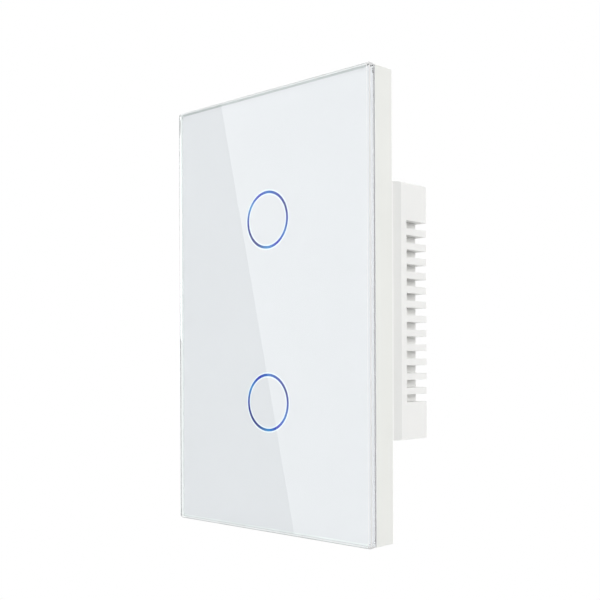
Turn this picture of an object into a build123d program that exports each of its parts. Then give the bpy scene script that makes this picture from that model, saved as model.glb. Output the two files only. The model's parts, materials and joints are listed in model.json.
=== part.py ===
from build123d import *
import math
import os

os.makedirs("parts", exist_ok=True)

# A two-key touch light switch for a wall box, in millimetres. X runs to the right as a person
# faces the switch, Y runs into the wall and Z up. The origin is the middle of the switch on the
# plane of the wall: the frame and the steel yoke both end there, and the module goes on behind it.

# One overrun lets every cut pass cleanly through what it cuts.
overrun = 1.0

# Glass plate, its white print and the tape behind it
panel_width = 72.0
panel_height = 118.0
glass_thickness = 2.0
glass_corner_radius = 0.7
glass_bevel = 0.55
glass_arris = 0.2
print_thickness = 0.1
print_inset = 1.0
print_corner_radius = 0.8
tape_thickness = 0.45
tape_inset = 0.55
tape_window_margin = 1.6

# Lit rings, as they show through the print
ring_inset = 10.45
ring_diameter = 15.2
ring_line = 0.5

# Plastic frame behind the glass
frame_depth = 6.5
frame_inset = 0.1
frame_corner_radius = 0.5
frame_wall = 1.8
frame_web = 1.2
frame_rib = 1.0
frame_rib_height = 2.2
frame_rib_gap = 0.5
frame_rib_spacing = 34.0
clip_width = 8.0
clip_thickness = 1.2
clip_spacing = 24.0
clip_catch = 0.2
clip_catch_length = 0.8
clip_stop = 0.3
pry_notch_width = 9.0
pry_notch_depth = 1.6

# Named clearances
window_clearance = 0.5
yoke_clearance = 0.3
clip_clearance = 0.3
print_clearance = 0.2
seat_clearance = 0.05
screw_clearance = 0.1
block_clearance = 0.3

# Steel yoke
yoke_side_gap_share = 0.18
yoke_end_gap = 3.9
yoke_thickness = 1.2
yoke_corner_radius = 4.0
wall_screw_spacing = 83.3
wall_screw_hole_diameter = 4.2
yoke_bead_width = 2.2
yoke_bead_length = 58.0
yoke_bead_height = 0.6

# Front shell of the module
module_width = 47.0
module_height = 69.8
module_wall = 1.6
cover_front_wall = 1.2
cover_corner_radius = 1.4
cover_front_gap = 0.3
cover_edge_chamfer = 0.5
flange_side_share = 0.24
flange_end = 3.6
flange_thickness = 1.2
flange_corner_radius = 1.6
parting_depth = 11.0

# Rear casing, wider than the module behind a slanted shoulder
shoulder_step = 1.5
rear_depth = 29.5
rear_wall = 1.8
shoulder_depth = 16.4
rear_corner_radius = 0.6
rear_edge_radius = 0.5
comb_slots = 13
comb_pitch = 3.94
comb_slot_height = 2.1
comb_start_depth = 20.4
comb_slot_cut = 3.85
comb_inner_wall = 1.65
board_rest_width = 1.7
board_rest_length = 6.0
board_rest_spacing = 28.0

# Long screws that close the module
housing_screw_inset_x = 2.6
housing_screw_inset_z = 3.0
housing_screw_radius = 1.1
housing_screw_length = 24.0
housing_screw_head_radius = 2.0
housing_screw_head_height = 1.3
screw_recess_radius = 2.2
screw_recess_depth = 1.8
boss_radius = 2.3
boss_reach = 9.5

# Small machine screws: yoke to module, and touch board to cover
small_screw_radius = 0.95
small_screw_head_height = 1.1
yoke_screw_head_radius = 1.65
yoke_screw_spacing_x = 32.0
yoke_screw_tip = 0.6
board_screw_head_radius = 1.8
board_screw_length = 3.4
driver_slot_width = 0.5
driver_slot_depth = 0.5

# Touch board and the light parts in front of it
board_thickness = 1.6
touch_board_side_gap = 0.9
touch_board_end_gap = 1.3
touch_board_depth = 1.6
touch_board_radius = 1.0
board_boss_radius = 2.2
board_screw_inset_x = 3.5
board_screw_inset_z = 3.0
chip_width = 7.0
chip_thickness = 1.0
chip_chamfer = 0.25
led_count = 6
led_length = 1.6
led_width = 0.9
led_height = 0.7
light_ring_outer_radius = 7.9
light_ring_inner_radius = 6.2
light_ring_led_gap = 0.5
light_ring_flange = 0.7
light_ring_flange_thickness = 0.7
shade_thickness = 0.8
shade_boss_gap = 1.8
shade_end_gap = 0.3
shade_wall = 0.6
spring_coil_radius = 3.6
spring_wire_radius = 0.25
spring_turns = 4

# Plug joint between the boards
header_pins = 6
header_length = 15.24
header_width = 2.5
header_depth = 2.2
header_pin_radius = 0.32
header_pin_reach = 3.0
header_offset_z = 8.0
socket_bore_radius = 0.5
socket_bore_depth = 4.0
socket_gap = 0.2

# Mains board
power_board_side_gap = 0.3
power_board_radius = 0.6
power_board_notch_gap = 0.3

# Terminal block, made up of four like ways side by side
way_count = 4
way_pitch = 9.0
block_recess = 0.3
block_port_wall = 2.3
block_top_wall = 1.5
block_ear_gap = 0.25
cage_chamber_width = 6.6
cage_chamber_length = 7.6
port_width = 4.8
port_depth = 4.6
head_recess = 1.5
head_radius = 2.8
head_height = 1.8
head_well_radius = 3.1
head_floor = 0.8
head_slot_width = 0.8
head_slot_depth = 0.9
head_edge = 0.2
cage_screw_radius = 1.7
cage_screw_hole_radius = 1.8
shank_hole_radius = 2.0
cage_width = 6.0
cage_length = 7.0
cage_wall = 0.8
cage_top_wall = 1.0
cage_wire_space = 4.4
cage_travel = 4.0
cage_gap = 0.3
bar_width = 3.8
bar_thickness = 1.0
bar_gap = 0.1
bar_end_gap = 0.6
bar_rise = 1.7

# Parts on the mains board
relay_width = 15.4
relay_length = 19.0
relay_height = 14.8
relay_spacing = 16.6
relay_edge = 0.8
relay_block_gap = 2.4
film_cap_size = (12.5, 10.0, 5.5)
film_cap_edge = 0.6
row_gap = 2.4
film_cap_x = -9.0
fuse_radius = 2.1
fuse_length = 8.2
fuse_foot_width = 3.4
fuse_foot_height = 0.8
fuse_foot_thickness = 0.5
fuse_foot_inset = 0.3
fuse_x = 11.5
varistor_radius = 3.9
varistor_thickness = 3.4
varistor_lead_radius = 0.35
varistor_lead_spacing = 4.4
varistor_lead_height = 1.4
varistor_x = 2.6
transformer_x = -9.5
transformer_inset = 7.0
core_width = 14.0
core_length = 13.0
core_thickness = 4.6
core_leg = 2.6
bobbin_base_height = 1.6
bobbin_tube_wall = 0.5
bobbin_flange = 0.6
bobbin_flange_height = 9.8
winding_depth = 1.5
winding_gap = 0.1
main_cap_radius = 4.0
main_cap_height = 13.0
main_cap_x = 10.5
main_cap_inset = 5.0
small_cap_radius = 2.5
small_cap_height = 9.0
small_cap_x = 2.5
small_cap_inset = 4.4
cap_edge = 0.5
rectifier_size = (6.4, 2.4, 4.4)
rectifier_edge = 0.3
rectifier_gap = 1.2

# Depths along Y that several pieces share
frame_front_y = -frame_depth
tape_front_y = frame_front_y - tape_thickness
print_front_y = tape_front_y - print_thickness
glass_front_y = print_front_y - glass_thickness
web_back_y = frame_front_y + frame_web
cover_front_y = tape_front_y + cover_front_gap
cover_inner_y = cover_front_y + cover_front_wall
yoke_front_y = -yoke_thickness
flange_front_y = yoke_front_y - flange_thickness
touch_board_front_y = -touch_board_depth
touch_board_back_y = touch_board_front_y + board_thickness
power_board_front_y = parting_depth
power_board_back_y = power_board_front_y + board_thickness
rear_inner_y = rear_depth - rear_wall

# Half sizes of the casing
module_half_width = module_width / 2
module_half_height = module_height / 2
module_inner_half_width = module_half_width - module_wall
module_inner_half_height = module_half_height - module_wall
rear_half_width = module_half_width + shoulder_step
comb_floor_x = rear_half_width - comb_slot_cut
comb_inner_x = comb_floor_x - comb_inner_wall
comb_room_start_y = comb_start_depth - rear_wall
housing_screw_x = module_half_width - housing_screw_inset_x
housing_screw_z = module_half_height - housing_screw_inset_z
flange_height = module_height + 2 * flange_end
yoke_screw_z = (module_half_height + flange_height / 2) / 2
window_half_width = module_half_width + window_clearance
window_half_height = module_half_height + window_clearance
ring_height = module_half_height - ring_inset
ring_heights = {"upper": ring_height, "lower": -ring_height}

# The frame's room, the yoke inside it, and the boards inside the module
frame_width = panel_width - 2 * frame_inset
frame_height = panel_height - 2 * frame_inset
frame_inner_half_width = frame_width / 2 - frame_wall
frame_inner_half_height = frame_height / 2 - frame_wall
side_room = frame_inner_half_width - module_half_width
flange_width = module_width + 2 * flange_side_share * side_room
yoke_width = 2 * (frame_inner_half_width - yoke_side_gap_share * side_room)
yoke_height = 2 * (frame_inner_half_height - yoke_end_gap)
yoke_bead_x = (flange_width + yoke_width) / 4
touch_board_width = 2 * (module_inner_half_width - touch_board_side_gap)
touch_board_height = 2 * (module_inner_half_height - touch_board_end_gap)
board_screw_spacing_x = touch_board_width - 2 * board_screw_inset_x
board_screw_spacing_z = touch_board_height - 2 * board_screw_inset_z
shade_width = board_screw_spacing_x - 2 * (board_boss_radius + shade_boss_gap)
shade_height = 2 * (module_inner_half_height - shade_end_gap)
power_board_half_width = module_inner_half_width - power_board_side_gap
power_board_half_height = module_inner_half_height - power_board_side_gap

# Terminal block, from the rear face forward and from the bottom up
block_back_y = rear_depth - block_recess
head_back_y = block_back_y - head_recess
head_front_y = head_back_y - head_height
well_floor_y = head_front_y - screw_clearance
chamber_back_y = well_floor_y - head_floor
cage_top_rest_y = chamber_back_y - screw_clearance - cage_travel
cage_top_front_y = cage_top_rest_y - cage_top_wall
bar_back_y = cage_top_front_y - cage_gap
bar_front_y = bar_back_y - bar_thickness
wire_front_y = bar_front_y - cage_wire_space
cage_front_y = wire_front_y - cage_wall
block_bottom_z = -module_half_height + block_recess
chamber_bottom_z = block_bottom_z + block_port_wall
chamber_top_z = chamber_bottom_z + cage_chamber_length
block_top_z = chamber_top_z + block_top_wall
cage_bottom_z = chamber_bottom_z + cage_gap
cage_top_z = cage_bottom_z + cage_length
way_z = (cage_bottom_z + cage_top_z) / 2
block_half_width = way_pitch * way_count / 2
notch_half_width = block_half_width + block_clearance


def save(name, shape):
    """Writes one piece, or one group of like pieces, and prints what it holds."""
    export_step(shape, f"parts/{name}.step")
    print(name, len(shape.solids()), "solid(s),", round(shape.volume, 1), "cubic mm")


def block(x_low, x_high, y_low, y_high, z_low, z_high):
    """A box between two limits on each axis."""
    size = (x_high - x_low, y_high - y_low, z_high - z_low)
    middle = ((x_low + x_high) / 2, (y_low + y_high) / 2, (z_low + z_high) / 2)
    return Pos(*middle) * Box(*size)


def plate(width, height, front_y, back_y, radius=0, x=0, z=0):
    """A plate parallel to the wall between two depths, with rounded corners if it has a radius."""
    outline = RectangleRounded(width, height, radius) if radius > 0 else Rectangle(width, height)
    return Pos(x, back_y, z) * extrude(Plane.XZ * outline, back_y - front_y)


def rod(radius, front_y, back_y, x=0, z=0):
    """A round bar that runs into the wall, between two depths."""
    middle = Pos(x, (front_y + back_y) / 2, z)
    return middle * Rot(90, 0, 0) * Cylinder(radius, back_y - front_y)


def tube(outer_radius, inner_radius, front_y, back_y, x=0, z=0):
    """A round sleeve that runs into the wall, between two depths."""
    bore = rod(inner_radius, front_y - overrun, back_y + overrun, x, z)
    return rod(outer_radius, front_y, back_y, x, z) - bore


def corners(spacing_x, spacing_z):
    """The four corners of a rectangle about the middle of the switch."""
    return [(x * spacing_x / 2, z * spacing_z / 2) for x in (-1, 1) for z in (-1, 1)]


def front_edges(shape):
    """The edges of the foremost face."""
    return shape.faces().sort_by(Axis.Y)[0].edges()


def back_edges(shape):
    """The edges of the rearmost face."""
    return shape.faces().sort_by(Axis.Y)[-1].edges()


def pan_screw(shank_radius, head_radius, head_height, head_face_y, shank_length, x, z, way=1):
    """A pan head screw with a straight driver slot. The shank runs towards +Y where way is 1."""
    head_seat_y = head_face_y + way * head_height
    head = rod(head_radius, *sorted((head_face_y, head_seat_y)), x, z)
    face = head.faces().sort_by(Axis.Y)[0 if way > 0 else -1]
    head = chamfer(face.edges(), head_height / 3)
    shank = rod(shank_radius, *sorted((head_seat_y, head_seat_y + way * shank_length)), x, z)
    slot_span = sorted((head_face_y - way * overrun, head_face_y + way * driver_slot_depth))
    slot = block(x - head_radius, x + head_radius, *slot_span,
                 z - driver_slot_width / 2, z + driver_slot_width / 2)
    return head + shank - slot


# The front panel: glass, print, tape and frame, which come off together


def make_glass_panel():
    glass = plate(panel_width, panel_height, glass_front_y, print_front_y, glass_corner_radius)
    glass = chamfer(front_edges(glass), glass_bevel)
    return chamfer(back_edges(glass), glass_arris)


def make_white_print():
    """The layer is left open where each ring shines through, so it holds two loose discs."""
    sheet = plate(panel_width - 2 * print_inset, panel_height - 2 * print_inset,
                  print_front_y, tape_front_y, print_corner_radius)
    ring_radius = ring_diameter / 2
    for height in ring_heights.values():
        sheet -= tube(ring_radius, ring_radius - ring_line,
                      print_front_y - overrun, tape_front_y + overrun, z=height)
    return sheet


def make_adhesive_tape():
    tape = plate(panel_width - 2 * tape_inset, panel_height - 2 * tape_inset,
                 tape_front_y, frame_front_y, print_corner_radius)
    return tape - plate(2 * (window_half_width + tape_window_margin),
                        2 * (window_half_height + tape_window_margin),
                        tape_front_y - overrun, frame_front_y + overrun)


def make_panel_frame():
    frame = plate(frame_width, frame_height, frame_front_y, 0, frame_corner_radius)
    frame -= plate(2 * frame_inner_half_width, 2 * frame_inner_half_height,
                   web_back_y, overrun)
    frame -= plate(2 * window_half_width, 2 * window_half_height,
                   frame_front_y - overrun, web_back_y + overrun, cover_corner_radius)
    rib_back_y = web_back_y + frame_rib_height
    for side in (-1, 1):
        for place in (-1, 0, 1):
            z = place * frame_rib_spacing
            x_span = sorted((side * (window_half_width + frame_rib_gap),
                             side * (frame_inner_half_width + seat_clearance)))
            frame += block(*x_span, web_back_y - seat_clearance, rib_back_y,
                           z - frame_rib / 2, z + frame_rib / 2)
        clip_low = flange_height / 2 + clip_clearance
        clip_high = clip_low + clip_thickness
        clip_back_y = yoke_front_y - clip_stop
        for clip_side in (-1, 1):
            x = clip_side * clip_spacing / 2
            arm = sorted((side * clip_low, side * clip_high))
            frame += block(x - clip_width / 2, x + clip_width / 2,
                           web_back_y - seat_clearance, clip_back_y, *arm)
            catch = sorted((side * (clip_low - clip_catch), side * clip_high))
            frame += block(x - clip_width / 2, x + clip_width / 2,
                           clip_back_y - clip_catch_length, clip_back_y, *catch)
    return frame - block(-pry_notch_width / 2, pry_notch_width / 2, -pry_notch_depth, overrun,
                         -frame_height / 2 - overrun, -frame_inner_half_height + overrun)


save("glass_panel", make_glass_panel())
save("white_print", make_white_print())
save("adhesive_tape", make_adhesive_tape())
save("panel_frame", make_panel_frame())


# The yoke and the front shell of the module


def make_mounting_yoke():
    yoke = plate(yoke_width, yoke_height, yoke_front_y, 0, yoke_corner_radius)
    for side in (-1, 1):
        yoke += plate(yoke_bead_width, yoke_bead_length, yoke_front_y - yoke_bead_height,
                      yoke_front_y + seat_clearance, x=side * yoke_bead_x)
    yoke -= plate(module_width + 2 * yoke_clearance, module_height + 2 * yoke_clearance,
                  yoke_front_y - overrun, overrun, cover_corner_radius)
    for side in (-1, 1):
        yoke -= rod(wall_screw_hole_diameter / 2, yoke_front_y - overrun, overrun,
                    z=side * wall_screw_spacing / 2)
    for x, z in corners(yoke_screw_spacing_x, 2 * yoke_screw_z):
        yoke -= rod(small_screw_radius + seat_clearance, yoke_front_y - overrun, overrun, x, z)
    return yoke


def make_yoke_screws():
    head_face_y = flange_front_y - small_screw_head_height
    length = flange_thickness + yoke_thickness + yoke_screw_tip
    return Compound([pan_screw(small_screw_radius, yoke_screw_head_radius,
                               small_screw_head_height, head_face_y, length, x, z)
                     for x, z in corners(yoke_screw_spacing_x, 2 * yoke_screw_z)])


def make_module_cover():
    shell = plate(module_width, module_height, cover_front_y, parting_depth, cover_corner_radius)
    shell = chamfer(front_edges(shell), cover_edge_chamfer)
    shell += plate(flange_width, flange_height, flange_front_y, yoke_front_y,
                   flange_corner_radius)
    shell -= plate(2 * module_inner_half_width, 2 * module_inner_half_height,
                   cover_inner_y, parting_depth + overrun)
    hole_radius = light_ring_outer_radius + print_clearance
    for height in ring_heights.values():
        shell -= rod(hole_radius, cover_front_y - overrun, cover_inner_y + overrun, z=height)
    for x, z in corners(board_screw_spacing_x, board_screw_spacing_z):
        shell += rod(board_boss_radius, cover_inner_y - seat_clearance,
                     touch_board_front_y, x, z)
        shell -= rod(small_screw_radius + seat_clearance, cover_inner_y,
                     touch_board_front_y + overrun, x, z)
    for x, z in corners(yoke_screw_spacing_x, 2 * yoke_screw_z):
        shell -= rod(small_screw_radius + screw_clearance, flange_front_y - overrun,
                     yoke_front_y + overrun, x, z)
    boss_front_y = parting_depth - boss_reach
    for x, z in corners(2 * housing_screw_x, 2 * housing_screw_z):
        shell += rod(boss_radius, boss_front_y, parting_depth, x, z)
        shell -= rod(housing_screw_radius + seat_clearance, boss_front_y + module_wall,
                     parting_depth + overrun, x, z)
    return shell


save("mounting_yoke", make_mounting_yoke())
save("yoke_screws", make_yoke_screws())
save("module_cover", make_module_cover())


# The rear casing with its comb slots, and the screws that close the module


def make_rear_housing():
    half_outline = [(module_half_width, parting_depth), (module_half_width, shoulder_depth),
                    (rear_half_width, shoulder_depth + shoulder_step),
                    (rear_half_width, rear_depth)]
    outline = half_outline + [(-x, y) for x, y in reversed(half_outline)]
    profile = make_face(Polyline(*outline, close=True))
    body = Pos(0, 0, -module_half_height) * extrude(profile, module_height)
    corner_edges = body.edges().filter_by(Axis.Y)
    body = fillet(corner_edges, rear_corner_radius)
    body = fillet(back_edges(body), rear_edge_radius)
    body -= plate(2 * module_inner_half_width, 2 * module_inner_half_height,
                  parting_depth - overrun, comb_room_start_y)
    body -= plate(2 * comb_inner_x, 2 * module_inner_half_height,
                  comb_room_start_y - overrun, rear_inner_y)
    for x, z in corners(2 * housing_screw_x, 2 * housing_screw_z):
        body += rod(boss_radius, parting_depth, rear_inner_y + seat_clearance, x, z)
    for side in (-1, 1):
        for place in (-1, 1):
            z = place * board_rest_spacing / 2
            x_span = sorted((side * (module_inner_half_width - board_rest_width),
                             side * (module_inner_half_width + seat_clearance)))
            body += block(*x_span, power_board_back_y, comb_room_start_y + seat_clearance,
                          z - board_rest_length / 2, z + board_rest_length / 2)
    for x, z in corners(2 * housing_screw_x, 2 * housing_screw_z):
        body -= rod(housing_screw_radius + screw_clearance, parting_depth - overrun,
                    rear_depth + overrun, x, z)
        body -= rod(screw_recess_radius, rear_depth - screw_recess_depth,
                    rear_depth + overrun, x, z)
    for number in range(comb_slots):
        z = (number - (comb_slots - 1) / 2) * comb_pitch
        for side in (-1, 1):
            x_span = sorted((side * comb_floor_x, side * (rear_half_width + overrun)))
            body -= block(*x_span, comb_start_depth, rear_depth + overrun,
                          z - comb_slot_height / 2, z + comb_slot_height / 2)
    return body - block(-notch_half_width, notch_half_width,
                        power_board_back_y - block_clearance, rear_depth + overrun,
                        -module_half_height - overrun, block_top_z + block_clearance)


def make_housing_screws():
    head_face_y = rear_depth - screw_recess_depth + housing_screw_head_height
    return Compound([pan_screw(housing_screw_radius, housing_screw_head_radius,
                               housing_screw_head_height, head_face_y, housing_screw_length,
                               x, z, way=-1)
                     for x, z in corners(2 * housing_screw_x, 2 * housing_screw_z)])


save("rear_housing", make_rear_housing())
save("housing_screws", make_housing_screws())


# The touch board and the light parts between it and the glass

shade_front_y = cover_inner_y + light_ring_flange_thickness + 2 * seat_clearance
shade_back_y = shade_front_y + shade_thickness
led_front_y = touch_board_front_y - led_height
light_ring_front_y = tape_front_y + print_clearance
light_ring_back_y = led_front_y - light_ring_led_gap
ring_middle_radius = (light_ring_outer_radius + light_ring_inner_radius) / 2


def make_touch_board():
    board = plate(touch_board_width, touch_board_height, touch_board_front_y,
                  touch_board_back_y, touch_board_radius)
    for x, z in corners(board_screw_spacing_x, board_screw_spacing_z):
        board -= rod(small_screw_radius + screw_clearance, touch_board_front_y - overrun,
                     touch_board_back_y + overrun, x, z)
    return board


def make_touch_board_screws():
    head_face_y = touch_board_back_y + small_screw_head_height
    length = board_thickness + board_screw_length
    return Compound([pan_screw(small_screw_radius, board_screw_head_radius,
                               small_screw_head_height, head_face_y, length, x, z, way=-1)
                     for x, z in corners(board_screw_spacing_x, board_screw_spacing_z)])


def make_touch_chip():
    chip = plate(chip_width, chip_width, touch_board_back_y, touch_board_back_y + chip_thickness,
                 z=header_offset_z)
    return chamfer(back_edges(chip), chip_chamfer)


def make_ring_leds():
    lamps = []
    for height in ring_heights.values():
        for number in range(led_count):
            turn = number * 360 / led_count
            lamp = block(ring_middle_radius - led_width / 2, ring_middle_radius + led_width / 2,
                         led_front_y, touch_board_front_y, -led_length / 2, led_length / 2)
            lamps.append(Pos(0, 0, height) * Rot(0, turn, 0) * lamp)
    return Compound(lamps)


def make_light_shade():
    """A plate behind the ring flanges, with one sleeve around each ring of lamps."""
    shade = plate(shade_width, shade_height, shade_front_y, shade_back_y, touch_board_radius)
    sleeve_back_y = touch_board_front_y - block_clearance
    inner_radius = light_ring_outer_radius + print_clearance
    outer_radius = inner_radius + shade_wall
    for height in ring_heights.values():
        shade += rod(outer_radius, shade_front_y, sleeve_back_y, z=height)
        shade -= rod(inner_radius, shade_front_y - overrun, sleeve_back_y + overrun, z=height)
    return shade


def make_light_ring(height):
    """The front of the ring lies just behind the glass, and its back just over the lamps."""
    flange_front = cover_inner_y + seat_clearance
    body = rod(light_ring_outer_radius, light_ring_front_y, light_ring_back_y, z=height)
    body += rod(light_ring_outer_radius + light_ring_flange, flange_front,
                flange_front + light_ring_flange_thickness, z=height)
    return body - rod(light_ring_inner_radius, light_ring_front_y - overrun,
                      light_ring_back_y + overrun, z=height)


def make_touch_spring(height):
    """One unbroken wire of half circles. Each half turn leans along Y and meets the next with a
    common tangent, so the coil climbs from the board to just behind the print."""
    start_y = touch_board_front_y - seat_clearance - spring_wire_radius
    end_y = tape_front_y + print_clearance + spring_wire_radius
    half_turns = 2 * spring_turns
    rise = (end_y - start_y) / half_turns
    path = []
    for number in range(half_turns):
        side = 1 if number % 2 == 0 else -1
        begin = Vector(side * spring_coil_radius, start_y + number * rise, height)
        end = Vector(-side * spring_coil_radius, start_y + (number + 1) * rise, height)
        reach = math.hypot(spring_coil_radius, rise / 2)
        top = (begin + end) / 2 + Vector(0, 0, side * reach)
        path.append(Edge.make_three_point_arc(begin, top, end))
    wire = Wire(path)
    section = Plane(origin=wire @ 0, z_dir=wire % 0) * Circle(spring_wire_radius)
    coil_gap = abs(2 * rise) - 2 * spring_wire_radius
    print("coil gap between turns of the touch spring:", round(coil_gap, 2))
    return sweep(section, path=wire)


save("touch_board", make_touch_board())
save("touch_board_screws", make_touch_board_screws())
save("touch_chip", make_touch_chip())
save("ring_leds", make_ring_leds())
save("light_shade", make_light_shade())
for name, height in ring_heights.items():
    save(f"light_ring_{name}", make_light_ring(height))
    save(f"touch_spring_{name}", make_touch_spring(height))


# The plug joint and the mains board

header_z = -header_offset_z
header_pin_gap = header_length / header_pins
pin_places = [(number - (header_pins - 1) / 2) * header_pin_gap for number in range(header_pins)]


def make_board_header():
    body = plate(header_length, header_width, touch_board_back_y,
                 touch_board_back_y + header_depth, z=header_z)
    for x in pin_places:
        body += rod(header_pin_radius, touch_board_back_y,
                    touch_board_back_y + header_depth + header_pin_reach, x, header_z)
    return body


def make_board_socket():
    front_y = touch_board_back_y + header_depth + socket_gap
    body = plate(header_length, header_width, front_y, power_board_front_y, z=header_z)
    for x in pin_places:
        body -= rod(socket_bore_radius, front_y - overrun, front_y + socket_bore_depth,
                    x, header_z)
    return body


def make_power_board():
    """The corners are cut back around the bosses of the long screws."""
    board = plate(2 * power_board_half_width, 2 * power_board_half_height,
                  power_board_front_y, power_board_back_y, power_board_radius)
    for x_side, z_side in ((-1, -1), (-1, 1), (1, -1), (1, 1)):
        notch_x = x_side * (housing_screw_x - boss_radius - power_board_notch_gap)
        notch_z = z_side * (housing_screw_z - boss_radius - power_board_notch_gap)
        x_span = sorted((notch_x, x_side * module_half_width))
        z_span = sorted((notch_z, z_side * module_half_height))
        board -= block(*x_span, power_board_front_y - overrun, power_board_back_y + overrun,
                       *z_span)
    return board


save("board_header", make_board_header())
save("board_socket", make_board_socket())
save("power_board", make_power_board())


# The parts on the mains board, in rows from the terminal block up

relay_low_z = block_top_z + relay_block_gap
relay_z = relay_low_z + relay_length / 2
row_z = relay_low_z + relay_length + row_gap + film_cap_size[2] / 2
seat_y = power_board_back_y
transformer_z = power_board_half_height - transformer_inset
main_cap_z = power_board_half_height - main_cap_inset
small_cap_z = power_board_half_height - small_cap_inset
rectifier_z = main_cap_z - main_cap_radius - rectifier_gap - rectifier_size[2] / 2


def make_relay(side):
    case = plate(relay_width, relay_length, seat_y, seat_y + relay_height,
                 x=side * relay_spacing / 2, z=relay_z)
    case = fillet(case.edges().filter_by(Axis.Y), relay_edge)
    return chamfer(back_edges(case), relay_edge / 2)


def make_film_capacitor():
    width, height, depth = film_cap_size
    case = plate(width, depth, seat_y, seat_y + height, x=film_cap_x, z=row_z)
    return fillet(case.edges().filter_by(Axis.Y) + back_edges(case), film_cap_edge)


def make_varistor():
    """A coated disc that stands on two wire legs."""
    middle_y = seat_y + varistor_lead_height + varistor_radius
    disc = Pos(varistor_x, middle_y, row_z) * Cylinder(varistor_radius, varistor_thickness)
    disc = fillet(disc.edges(), varistor_thickness / 3)
    for side in (-1, 1):
        disc += rod(varistor_lead_radius, seat_y, middle_y,
                    varistor_x + side * varistor_lead_spacing / 2, row_z)
    return disc


def make_fuse():
    """A round tube with two caps, on a foot at each end."""
    middle_y = seat_y + fuse_foot_height + fuse_radius
    body = Pos(fuse_x, middle_y, row_z) * Rot(0, 90, 0) * Cylinder(fuse_radius, fuse_length)
    body = chamfer(body.edges(), fuse_radius / 6)
    for side in (-1, 1):
        outer_x = fuse_length / 2 - fuse_foot_inset
        x_span = sorted((fuse_x + side * outer_x,
                         fuse_x + side * (outer_x - fuse_foot_thickness)))
        body += block(*x_span, seat_y, middle_y, row_z - fuse_foot_width / 2,
                      row_z + fuse_foot_width / 2)
    return body


def make_can(radius, height, x, z):
    """An upright can with a rounded top and a rolled groove near its foot."""
    can = rod(radius, seat_y, seat_y + height, x, z)
    can = fillet(back_edges(can), cap_edge)
    groove_y = seat_y + 3 * cap_edge
    groove = tube(radius + overrun, radius - cap_edge / 2, groove_y, groove_y + cap_edge, x, z)
    return can - groove


def make_bridge_rectifier():
    width, height, depth = rectifier_size
    case = plate(width, depth, seat_y, seat_y + height, x=main_cap_x, z=rectifier_z)
    return chamfer(back_edges(case), rectifier_edge)


core_middle_y = seat_y + bobbin_base_height + bobbin_flange_height / 2
core_front_y = core_middle_y - core_thickness / 2
core_back_y = core_middle_y + core_thickness / 2
tube_half = core_leg / 2 + winding_gap + bobbin_tube_wall
bobbin_half_length = core_length / 2 - core_leg - winding_gap


def make_transformer_core():
    """Two E shapes that meet: a frame with a middle leg, laid flat over the board."""
    core = plate(core_width, core_length, core_front_y, core_back_y,
                 x=transformer_x, z=transformer_z)
    window = core_width / 2 - 3 * core_leg / 2
    for side in (-1, 1):
        x = transformer_x + side * (core_leg / 2 + window / 2)
        core -= plate(window, core_length - 2 * core_leg, core_front_y - overrun,
                      core_back_y + overrun, x=x, z=transformer_z)
    return core


def make_transformer_bobbin():
    """A tube around the core's middle leg between two flanges, which stand on the base."""
    z_low = transformer_z - bobbin_half_length
    z_high = transformer_z + bobbin_half_length
    half_width = core_width / 2 - core_leg - winding_gap
    sleeve_front_y = core_front_y - winding_gap - bobbin_tube_wall
    sleeve_back_y = core_back_y + winding_gap + bobbin_tube_wall
    body = block(transformer_x - tube_half, transformer_x + tube_half,
                 sleeve_front_y, sleeve_back_y, z_low, z_high)
    for low, high in ((z_low, z_low + bobbin_flange), (z_high - bobbin_flange, z_high)):
        body += block(transformer_x - half_width, transformer_x + half_width,
                      seat_y, seat_y + bobbin_base_height + bobbin_flange_height, low, high)
    body += block(transformer_x - half_width, transformer_x + half_width,
                  seat_y, seat_y + bobbin_base_height, z_low, z_high)
    opening = core_leg / 2 + winding_gap
    return body - block(transformer_x - opening, transformer_x + opening,
                        core_front_y - winding_gap, core_back_y + winding_gap,
                        z_low - overrun, z_high + overrun)


def make_transformer_winding():
    """The wound coil, taped over, between the two flanges."""
    inner_half = tube_half + seat_clearance
    inner_front_y = core_front_y - winding_gap - bobbin_tube_wall - seat_clearance
    inner_back_y = core_back_y + winding_gap + bobbin_tube_wall + seat_clearance
    half_length = bobbin_half_length - bobbin_flange - winding_gap
    coil = plate(2 * (inner_half + winding_depth) - 2 * winding_gap, 2 * half_length,
                 inner_front_y - winding_depth, inner_back_y + winding_depth,
                 x=transformer_x, z=transformer_z)
    coil = fillet(coil.edges().filter_by(Axis.Z), winding_depth / 2)
    return coil - block(transformer_x - inner_half, transformer_x + inner_half,
                        inner_front_y, inner_back_y,
                        transformer_z - half_length - overrun,
                        transformer_z + half_length + overrun)


save("relay_left", make_relay(-1))
save("relay_right", make_relay(1))
save("film_capacitor", make_film_capacitor())
save("varistor", make_varistor())
save("fuse", make_fuse())
save("electrolytic_capacitor", make_can(main_cap_radius, main_cap_height, main_cap_x, main_cap_z))
save("small_capacitor", make_can(small_cap_radius, small_cap_height, small_cap_x, small_cap_z))
save("bridge_rectifier", make_bridge_rectifier())
save("transformer_core", make_transformer_core())
save("transformer_bobbin", make_transformer_bobbin())
save("transformer_winding", make_transformer_winding())


# The terminal block, its bars, and for each way a screw and the cage that it draws up

way_places = [(number - (way_count - 1) / 2) * way_pitch for number in range(way_count)]


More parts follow.
